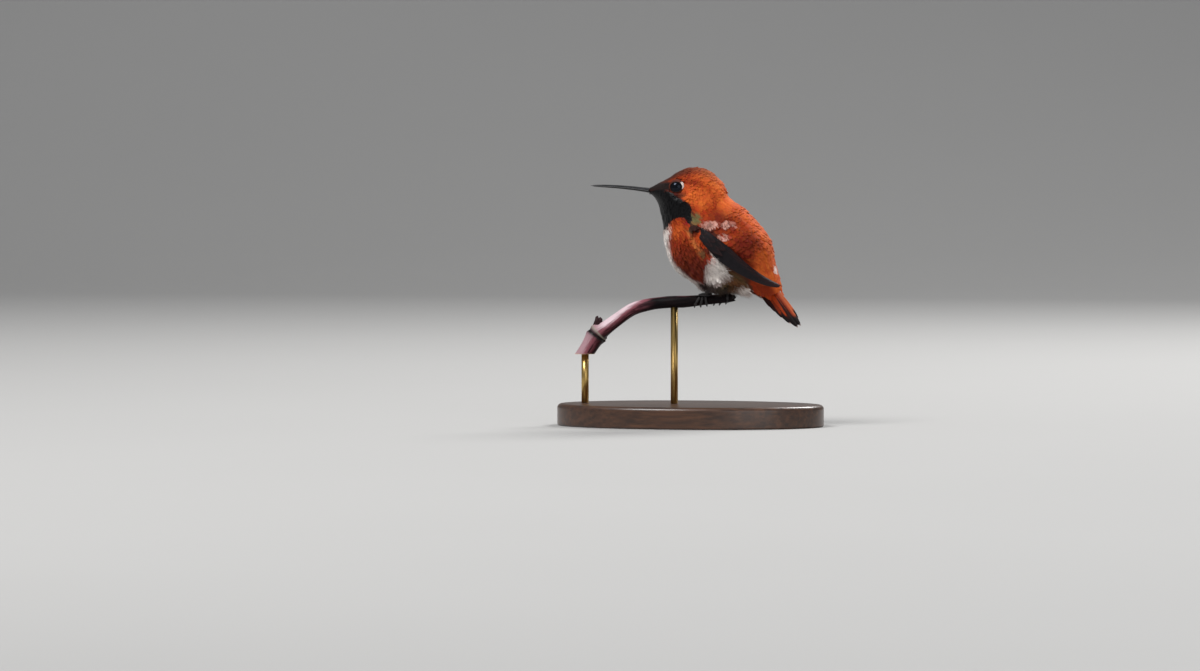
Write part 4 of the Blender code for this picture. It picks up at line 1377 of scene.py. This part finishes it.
def makeLid(side, word):  # a thin cup of skin over the ball, open where the eye shows
    middle = Vector(posed(np.array([eyeAt[side]]))[0])
    outward = Vector(np.array(eyeLook["outward"]) * (1, side, 1)).normalized()
    outward.rotate(Matrix.Rotation(math.radians(pose["headTurn"]), 3, "Z"))
    wide = Vector((0, 0, 1)).cross(outward).normalized()
    high = outward.cross(wide)
    points, faces, places, pales = [], [], [], []
    ring, rows, thick = 72, 11, eyeLook["lidThick"]
    profile = [(0.0, 0.02)] + [(k / rows, thick + 0.05 * hump(k / rows, 0.08, 0.1)) for k in range(rows + 1)]
    profile += [(k / rows, 0.02) for k in range(rows, 0, -1)]
    for i in range(ring):
        angle = 2 * math.pi * i / ring
        c, s = math.cos(angle), math.sin(angle)
        opening = math.hypot(eyeLook["opening"][0] * c, eyeLook["opening"][1] * s)
        start = math.asin(opening / eyeLook["ball"])
        for share, rise in profile:
            polar = start + (math.radians(eyeLook["lidEdge"]) - start) * share
            bead = rise * (1 + 0.22 * math.sin(23 * angle) * (share < 0.2))
            way = (wide * c + high * s) * math.sin(polar) + outward * math.cos(polar)
            points.append((middle + way * (eyeLook["ball"] + bead)) * mm)
            places.append(share)
            rearward = (wide * c).x + 0.25 * (high * s).z
            pales.append(float(smooth(rearward, 0.84, 0.96)))
    loop = len(profile)
    for i in range(ring):
        for j in range(loop):
            a, b = i * loop + j, i * loop + (j + 1) % loop
            c, d = (i + 1) % ring * loop + (j + 1) % loop, (i + 1) % ring * loop + j
            faces.append((a, b, c, d))
    obj = closedMesh(meshObject("lid" + word.capitalize(), points, faces, lidMat))
    pointAttribute(obj.data, "ringPlace", places)
    pointAttribute(obj.data, "pale", pales)
    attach(obj, "root")


def makeEye(side, word):
    work = bmesh.new()
    bmesh.ops.create_uvsphere(work, u_segments=48, v_segments=32, radius=eyeLook["ball"] * mm)
    bmesh.ops.translate(work, verts=work.verts, vec=Vector(posed(np.array([eyeAt[side]]))[0]) * mm)
    mesh = bpy.data.meshes.new("eye" + word.capitalize())
    writeBack(work, mesh)
    mesh.shade_smooth()
    mesh.materials.append(eyeMat)
    obj = shown(mesh.name, mesh)
    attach(obj, "root")
    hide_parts("eye_" + word)


billLook = {
    "root": (-11.2, 0.0, 64.5),
    "tip": (-27.2, 0.0, 65.8),
    "bow": 0.3,
    "width": 0.95,
    "depth": 0.66,
    "shorter": 0.5,  # the lower mandible
    "steps": 44,
    "sides": 14,
}


def makeBill(word):  # one mandible, flat where the two meet
    root, tip = np.array(billLook["root"]), np.array(billLook["tip"])
    sign, deepness = (1, 1.1) if word == "upper" else (-1, 0.85)
    longest = 1.0 if word == "upper" else 1 - billLook["shorter"] / np.linalg.norm(tip - root)
    points = []
    for i in range(billLook["steps"] + 1):
        share = i / billLook["steps"]
        slim = (1 - 0.52 * share**0.7) * math.sqrt(max(1 - share**9, 0.02))
        reach = share * longest
        middle = root + (tip - root) * reach + np.array([0, 0, billLook["bow"] * 4 * reach * (1 - reach)])
        wide = billLook["width"] * (1 - 0.35 * float(smooth(share * 2))) * slim
        for k in range(billLook["sides"] + 1):
            angle = math.pi * k / billLook["sides"]
            ridge = 1 + 0.05 * hump(angle, math.pi / 2, 0.25) * (1 - share)
            rise = (0.03 + billLook["depth"] * slim * deepness * math.sin(angle) * ridge) * sign
            points.append(middle + np.array([0, wide * math.cos(angle), rise]))
    faces = ringFaces(billLook["steps"] + 1, billLook["sides"] + 1)
    obj = joinParts("bill" + word.capitalize(), [(posed(points), faces)], billMat)
    obj.data.set_sharp_from_angle(angle=math.radians(60))
    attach(obj, "root")
    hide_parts("bill_" + word)


perchLook = {
    "tip": (12.2, 0.0, 35.2, 1.1),
    "route": [  # x, y, z, radius
        (-2.0, 0.0, 34.05, 1.6),
        (-7.4, 0.3, 33.8, 1.62),
        (-12.2, 0.7, 33.1, 1.65),
        (-16.6, 0.9, 31.7, 1.70),
        (-20.4, 0.7, 29.1, 1.78),
        (-23.4, 0.3, 26.9, 1.95),
        (-26.0, 0.0, 25.0, 2.60),
        (-28.4, -0.3, 21.2, 2.25),
        (-31.2, -0.6, 17.0, 2.35),
    ],
    "joint": (-26.0, 0.0, 25.0),  # where the buds grow
    "cut": 19.5,  # the height of the cut foot
    "sides": 56,
}

feetLook = {
    "at": {left: 4.6, right: 9.6},  # along the stem
    "lean": 38.0,
    "knee": (8.8, 4.2, 39.6),
    "shank": 0.42,
    "pad": (1.75, 0.62, 0.42),
    "toe": 0.34,
    "claw": 0.24,
    "clear": 0.08,  # air between the toes and the bark
    "toes": [  # start along the stem, shift along it, angle at the start and at the tip
        (0.95, 0.1, 8.0, -104.0),
        (0.0, 0.2, 66.0, 134.0),
        (-0.82, -0.7, 66.0, 142.0),
        (-1.64, -1.5, 64.0, 130.0),
    ],
    "clawTurn": 44.0,
}


def onStem(x, degrees, side, clear):
    start, end = np.array(perchLook["route"][0]), np.array(perchLook["tip"])
    row = start + (end - start) * (x - start[0]) / (end[0] - start[0])
    angle = math.radians(degrees)
    return row[:3] + np.array([0, side * math.sin(angle), math.cos(angle)]) * (row[3] + clear)


def makeFoot(side, word):  # shank, pad, scaled toes and hooked claws
    footX, thick, gap = feetLook["at"][side], feetLook["toe"], feetLook["clear"]
    title = word.capitalize()
    horny, claws = [], []
    for start, shift, first, last in feetLook["toes"]:
        line, radii = [], []
        for share in np.linspace(0, 1, 34):
            angle = first + (last - first) * share
            line.append(onStem(footX + start + shift * share, angle, side, thick + gap))
            knuckle = 0.05 * math.sin(share * 3 * math.pi) ** 2
            scale = 0.03 * (1 - abs(math.sin(share * math.pi * 11))) ** 2
            radii.append(thick - 0.06 * share + knuckle - scale)
        horny.append(tube(line, radii, 14))
        line, radii = [], []
        turnBy = feetLook["clawTurn"] * (1 if last > 0 else -1)
        for share in np.linspace(0, 1, 14):
            hook = thick + gap - 0.02 + 0.10 * math.sin(share * math.pi) - 0.08 * share
            place = footX + start + shift * (1 + 0.12 * share)
            line.append(onStem(place, last + turnBy * (0.22 + 0.78 * share), side, hook))
            radii.append(feetLook["claw"] * (1 - 0.72 * share))
        claws.append(tube(line, radii, 12))
    padAt = onStem(footX - 0.35, feetLook["lean"], side, 0.36 + gap)
    knee = np.array(feetLook["knee"]) * (1, side, 1)
    ankle = padAt + (knee - padAt) / np.linalg.norm(knee - padAt) * 0.12
    line, radii = [], []
    for share in np.linspace(0, 1, 26):
        line.append(knee + (ankle - knee) * share)
        radii.append(feetLook["shank"] * (1 - 0.07 * (1 - abs(math.sin(share * math.pi * 7))) ** 2))
    horny.append(tube(line, radii, 16))
    pad, lean = [], math.radians(feetLook["lean"]) * side
    c, s = math.cos(lean), math.sin(lean)
    long, wide, high = feetLook["pad"]
    for polar in np.linspace(0.06, math.pi - 0.06, 15):
        for turnAt in np.linspace(0, 2 * math.pi, 20, endpoint=False):
            lump = 1 + 0.05 * math.sin(9 * polar) * math.sin(5 * turnAt)
            dx = math.cos(polar) * long
            dy = math.sin(polar) * math.cos(turnAt) * wide
            dz = math.sin(polar) * math.sin(turnAt) * high
            pad.append(padAt + np.array([dx, dy * c + dz * s, dz * c - dy * s]) * lump)
    horny.append((pad, ringFaces(15, 20)))
    foot = joinParts("foot" + title, horny, legMat)
    hooks = joinParts("claws" + title, claws, clawMat)
    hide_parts("leg_" + word, *[f"toe_{word}_{k}" for k in range(1, 5)])
    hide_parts(*[f"claw_{word}_{k}" for k in range(1, 5)])
    for piece, slot in ((foot, "leg scales"), (hooks, "claw horn")):
        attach(piece, "root")


lidMat = lidMaterial()
eyeMat = eyeMaterial()
for side, word in sideWords.items():
    makeLid(side, word)
    makeEye(side, word)
billMat = hornMaterial("billHorn", linear(7, 7, 9), linear(20, 20, 25), 0.34)
makeBill("upper")
makeBill("lower")
legMat = hornMaterial("legScales", linear(14, 12, 13), linear(36, 30, 32), 0.5)
clawMat = hornMaterial("clawHorn", linear(10, 9, 10), linear(26, 23, 24), 0.35)
for side, word in sideWords.items():
    makeFoot(side, word)
print("eyes, bill and feet finished")


def barkMaterial():
    finish = {"Specular IOR Level": 0.12, "Coat Weight": 0.02, "Coat Roughness": 0.22}
    made, w, shader, place = newMaterial("stemBark", finish)
    path = w.node("ShaderNodeUVMap", uv_map="stemMap").outputs[0]
    long = w.node("ShaderNodeMapping", {"Vector": path, "Scale": (30.0, 2.6, 1.0)})
    streak = w.noise(long, 1.0, 5.0, 0.6)
    blotch = w.noise(place, 320.0, 4.0)
    where = w.node("ShaderNodeSeparateXYZ", {0: place}).outputs[0]
    # near-black, browner bark towards the bird's end of the stem: darker bark and painted shade together
    darkEndAndShade = w.ramp(where, -0.016, -0.009, 0.0, 1.0)
    grain = w.ramp(streak, 0.3, 0.7, 0.0, 1.0)
    red = w.mix(grain, linear(52, 22, 28), linear(112, 60, 68))
    brown = w.mix(grain, linear(4, 3, 5), linear(20, 9, 11))
    colour = w.mix(darkEndAndShade, red, brown)
    # painted highlight: pink on the stem's upper side, narrowing towards the bird, near-white on the upper
    # bend
    above = w.math("MULTIPLY_ADD", grain, 0.30, attributeSocket(w, "above"))
    narrowing = w.ramp(where, -0.020, -0.0085, 0.0, 1.1)
    lit = w.math("SUBTRACT", above, narrowing)
    colour = w.mix(w.ramp(lit, 0.05, 0.45, 0.0, 0.8), colour, linear(142, 82, 92))
    upperBend = w.ramp(where, -0.0265, -0.0235, 0.35, 1.0)
    shine = w.math("MULTIPLY", w.ramp(lit, 0.45, 0.95, 0.0, 0.9), upperBend)
    colour = w.mix(shine, colour, linear(232, 208, 214))
    # painted shade on the stem's underside
    underShade = w.ramp(above, 0.15, -0.45, 0.0, 0.8)
    colour = w.mix(underShade, colour, linear(18, 9, 12))
    grey = w.ramp(blotch, 0.58, 0.74, 0.0, 0.15)
    colour = w.mix(w.math("MULTIPLY", grey, w.math("SUBTRACT", 1.0, darkEndAndShade)), colour, linear(112, 92, 94))
    colour = w.mix(attributeSocket(w, "paleRing"), colour, linear(150, 146, 132))
    colour = w.mix(attributeSocket(w, "scar"), colour, linear(24, 18, 18))
    wood = w.mix(w.noise(place, 1500.0, 3.0), linear(150, 116, 80), linear(206, 180, 140))
    colour = w.mix(attributeSocket(w, "cutFace"), colour, wood)
    w.feed(shader.inputs["Base Color"], colour)
    addBump(w, shader, w.math("ADD", streak, w.math("MULTIPLY", blotch, 0.6)), 0.5, 0.00012)
    rough = w.math("MULTIPLY_ADD", streak, 0.25, 0.30)
    w.feed(shader.inputs["Roughness"], w.math("ADD", rough, w.math("MULTIPLY", darkEndAndShade, 0.4)))
    return made


def stemStations():  # the straight end piece, then the bends down to the cut foot
    tip, route = np.array(perchLook["tip"]), perchLook["route"]
    start = np.array(route[0])
    rows = [tip + (start - tip) * k / 26 for k in range(26)]
    rows += [spline(route, k / 92) for k in range(93)]
    return np.array(rows)


def makePerch():
    rows = stemStations()
    chance = random.Random(5)
    waves = []  # how many round the stem, phase, twist and height
    for _ in range(10):
        number, phase = chance.randint(2, 9), chance.uniform(0, 6.3)
        waves.append((number, phase, chance.uniform(-0.25, 0.25), chance.uniform(0.006, 0.02)))
    joint = np.array(perchLook["joint"])
    points, uvs, scars, aboves, pales = [], [], [], [], []
    sides = perchLook["sides"]
    travelled = 0.0
    frameUp = np.array([0, 0, 1.0])
    for i, row in enumerate(rows):
        ahead, behind = rows[min(i + 1, len(rows) - 1), :3], rows[max(i - 1, 0), :3]
        way = (ahead - behind) / np.linalg.norm(ahead - behind)
        sideways = np.cross(way, frameUp)
        sideways /= np.linalg.norm(sideways)
        upward = np.cross(sideways, way)
        travelled += np.linalg.norm(row[:3] - rows[max(i - 1, 0), :3])
        toJoint = (row[:3] - joint) @ way
        frayed = max(0.0, 1 - i / 3.0)  # the broken end
        ring, scar, pale = 0.0, 0.75 * frayed, 0.0
        if np.linalg.norm(row[:3] - joint) < 4:  # the swollen ring with its scar and pale line
            ring = 0.30 * hump(toJoint, -0.55, 0.42) - 0.16 * hump(toJoint, 0.35, 0.32)
            ring += 0.22 * hump(toJoint, 1.15, 0.5)
            scar, pale = min(1.0, 1.4 * hump(toJoint, 0.45, 0.6)), 0.9 * hump(toJoint, -0.45, 0.30)
        for k in range(sides):
            angle = 2 * math.pi * k / sides
            bumps = sum(a * math.sin(n * angle + p + s * travelled * 3) for n, p, s, a in waves)
            radius = (row[3] + ring + bumps) * (1 - 0.22 * frayed)
            shift = -way * frayed * 0.5 * math.sin(3 * angle + 1.0) * (1 if i == 0 else 0.4)
            points.append(row[:3] + (sideways * math.cos(angle) + upward * math.sin(angle)) * radius + shift)
            uvs.append((k / sides, travelled / 10))
            # how far up and towards one side: the bark's painted highlight and painted underside shade follow
            # it
            aboves.append(math.sin(angle) - 0.35 * math.cos(angle))
            scars.append(scar)
            pales.append(pale)
    faces = ringFaces(len(rows), sides)
    obj = meshObject("perchStem", np.array(points) * mm, faces, barkMat)
    mesh = obj.data
    layer = mesh.uv_layers.new(name="stemMap")
    for face in mesh.polygons:
        turns = [uvs[v][0] for v in face.vertices]
        wrap = face.loop_total == 4 and max(turns) - min(turns) > 0.5
        for loop in face.loop_indices:
            u, v = uvs[mesh.loops[loop].vertex_index]
            layer.data[loop].uv = (u + 1 if wrap and u < 0.5 else u, v)
    pointAttribute(mesh, "scar", scars)
    pointAttribute(mesh, "paleRing", pales)
    pointAttribute(mesh, "above", aboves)
    work = opened(mesh)
    everything = work.verts[:] + work.edges[:] + work.faces[:]
    cutAt = (0, 0, perchLook["cut"] * mm)
    bmesh.ops.bisect_plane(work, geom=everything, plane_co=cutAt, plane_no=(0, 0, -1), clear_outer=True)
    bmesh.ops.holes_fill(work, edges=[e for e in work.edges if len(e.link_faces) == 1])
    bmesh.ops.recalc_face_normals(work, faces=work.faces)
    writeBack(work, mesh)
    mesh.shade_smooth()
    mesh.set_sharp_from_angle(angle=math.radians(50))
    cutTop = (perchLook["cut"] + 0.01) * mm
    pointAttribute(mesh, "cutFace", [float(v.co.z < cutTop) for v in mesh.vertices])
    return obj


barkMat = barkMaterial()
perch = makePerch()


def makeBud(name, root, tip, radius, seed):  # dry bud scales wrapped round a short stub
    chance = random.Random(seed)
    root, tip = np.array(root, float), np.array(tip, float)
    way = (tip - root) / np.linalg.norm(tip - root)
    sideways = np.cross(way, (0, 1, 0))
    sideways /= np.linalg.norm(sideways)
    other = np.cross(way, sideways)
    points, sides, steps = [], 20, 14
    for i in range(steps + 1):
        t = i / steps
        profile = radius * (1.15 - 0.2 * t) * (math.sqrt(max(1 - max((t - 0.8) / 0.2, 0) ** 2, 0.10)))
        for k in range(sides):
            angle = 2 * math.pi * k / sides
            scale = 1 + 0.10 * math.sin(3 * angle + t * 5) + 0.06 * math.sin(7 * angle)
            scale += chance.uniform(-0.02, 0.02)
            jag = 0.35 * math.sin(2 * angle + seed) + 0.2 * math.sin(5 * angle) if t > 0.75 else 0.0
            outward = sideways * math.cos(angle) + other * math.sin(angle)
            points.append(root + way * (t * np.linalg.norm(tip - root) + jag) + outward * profile * scale)
    faces = ringFaces(steps + 1, sides)
    obj = closedMesh(meshObject(name, np.array(points) * mm, faces, barkMat))
    pointAttribute(obj.data, "scar", [0.8] * len(obj.data.vertices))
    pointAttribute(obj.data, "cutFace", [0.0] * len(obj.data.vertices))
    obj.data.uv_layers.new(name="stemMap")
    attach(obj, "root")


makeBud("budUpper", (-26.2, 0.0, 26.4), (-25.5, -0.5, 29.5), 1.05, 1)
makeBud("budLower", (-26.2, 0.0, 25.2), (-24.0, 0.6, 23.6), 1.0, 2)
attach(perch, "root")
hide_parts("perch")
print("perch made")


def woodMaterial():
    made, w, shader, place = newMaterial("darkWood", {"Coat Weight": 0.3, "Coat Roughness": 0.15})
    stretch = w.node("ShaderNodeMapping", {"Vector": place, "Scale": (60.0, 900.0, 900.0)})
    grain = w.noise(stretch, 1.0, 6.0, 0.65)
    waves = {"Vector": stretch, "Scale": 0.16, "Distortion": 5.0, "Detail": 2.0}
    rings = w.node("ShaderNodeTexWave", waves, bands_direction="Y").outputs["Fac"]
    colour = w.mix(w.ramp(grain, 0.3, 0.75, 0.0, 1.0), linear(46, 28, 18), linear(92, 58, 36))
    colour = w.mix(w.math("MULTIPLY", rings, 0.4), colour, linear(60, 36, 22))
    w.feed(shader.inputs["Base Color"], colour)
    w.feed(shader.inputs["Roughness"], w.math("MULTIPLY_ADD", grain, 0.2, 0.26))
    addBump(w, shader, grain, 0.15, 0.0001)
    return made


def brassMaterial():
    made, w, shader, place = newMaterial("brushedBrass", {"Metallic": 1.0})
    stretch = w.node("ShaderNodeMapping", {"Vector": place, "Scale": (3000.0, 3000.0, 90.0)})
    brushed = w.noise(stretch, 1.0, 3.0)
    w.feed(shader.inputs["Base Color"], w.mix(brushed, linear(168, 134, 74), linear(206, 174, 108)))
    w.feed(shader.inputs["Roughness"], w.math("MULTIPLY_ADD", brushed, 0.2, 0.2))
    return made


baseLook = {"length": 74.0, "width": 46.0, "height": 6.0, "edge": 1.2, "foot": 0.4, "sides": 144}


def makeBase():
    edge, high, foot = baseLook["edge"], baseLook["height"], baseLook["foot"]
    halfLong, halfWide = baseLook["length"] / 2, baseLook["width"] / 2
    rows = [(-foot, 0.0), (0.0, foot)]
    for angle in np.linspace(0, math.pi / 2, 9):
        rows.append((edge * (math.cos(angle) - 1), high - edge * (1 - math.sin(angle))))
    points = []
    for inset, height in rows:
        long, wide = halfLong + inset, halfWide + inset
        for turnAt in np.linspace(0, 2 * math.pi, baseLook["sides"], endpoint=False):
            points.append((long * math.cos(turnAt), wide * math.sin(turnAt), height))
    obj = joinParts("displayBase", [(points, ringFaces(len(rows), baseLook["sides"]))], woodMaterial())
    obj.data.set_sharp_from_angle(angle=math.radians(40))
    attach(obj, "root")
    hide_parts("stand_base")


def makeRod(word):  # the rod itself, its loose triangles joined
    work = weldedCopy("stand_rod_" + word, 0)
    mesh = bpy.data.meshes.new("rod" + word.capitalize())
    writeBack(work, mesh)
    mesh.shade_smooth()
    mesh.set_sharp_from_angle(angle=math.radians(40))
    mesh.materials.append(brass)
    obj = shown(mesh.name, mesh)
    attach(obj, "root")
    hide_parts("stand_rod_" + word)


brass = brassMaterial()
makeBase()
makeRod("front")
makeRod("rear")
print("stand finished")

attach(skin, "root")
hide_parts(*fleshNodes)
for group in patterns.values():  # the loose patterns have done their work
    for obj in list(group.objects):
        bpy.data.objects.remove(obj)
    bpy.data.collections.remove(group)

studioLook = {
    "floor": (184, 183, 181),
    "lens": 200.0,
    "azimuth": 12.0,
    "elevation": 2.0,
    "distance": 1833.0,
    "aim": (-25.3, 0.0, 24.6),
    "key": {"at": (-0.45, -0.65, 1.05), "size": 0.6, "power": 12.5},
    "rim": {"at": (0.35, 0.7, 0.8), "size": 0.5, "power": 9.0},
    "fill": {"at": (0.7, -0.9, 0.35), "size": 0.9, "power": 2.4},
    "sky": (0.80, 0.82, 0.86),
    "skyPower": 0.37,
}


def makeFloor():  # a floor that curves up into a backdrop
    points, faces = [], []
    profile = [(-2.6, 0.0), (1.2, 0.0)]
    profile += [(1.2 + 0.6 * math.sin(a), 0.6 - 0.6 * math.cos(a)) for a in np.linspace(0.1, math.pi / 2, 12)]
    profile.append((1.8, 3.0))
    for yPlace, height in profile:
        points += [(-3.0, yPlace, height), (3.0, yPlace, height)]
    for i in range(len(profile) - 1):
        faces.append((2 * i, 2 * i + 1, 2 * i + 3, 2 * i + 2))
    made, w, shader, place = newMaterial("paleFloor", {"Roughness": 0.8})
    base = linear(*studioLook["floor"])
    w.feed(shader.inputs["Base Color"], w.mix(w.noise(place, 6.0, 2.0), tuple(c * 0.97 for c in base), base))
    floor = meshObject("studioFloor", points, faces, made)


def makeLight(name, at, size, power):
    lamp = bpy.data.lights.new(name, "AREA")
    lamp.shape = "DISK"
    lamp.size = size
    lamp.energy = power
    obj = shown(name, lamp)
    obj.location = at
    obj.rotation_euler = (Vector((0, 0, 0.05)) - Vector(at)).to_track_quat("-Z", "Y").to_euler()


makeFloor()
for name in ("key", "rim", "fill"):
    makeLight(name, **studioLook[name])
world = bpy.data.worlds.new("softStudio")
studio.world = world
world.use_nodes = True
sky = world.node_tree.nodes["Background"]
sky.inputs["Color"].default_value = (*studioLook["sky"], 1)
sky.inputs["Strength"].default_value = studioLook["skyPower"]
studio.view_settings.view_transform = "Standard"

lens = bpy.data.cameras.new("studioCamera")
lens.lens = studioLook["lens"]
lens.sensor_width = 36.0
lens.clip_start = 0.05
camera = shown("studioCamera", lens)
turn, rise = math.radians(studioLook["azimuth"]), math.radians(studioLook["elevation"])
aim = Vector(studioLook["aim"]) * mm
away = Vector((math.sin(turn) * math.cos(rise), -math.cos(turn) * math.cos(rise), math.sin(rise)))
camera.location = aim + away * studioLook["distance"] * mm
camera.rotation_euler = (aim - camera.location).to_track_quat("-Z", "Y").to_euler()
studio.camera = camera
print("studio ready")
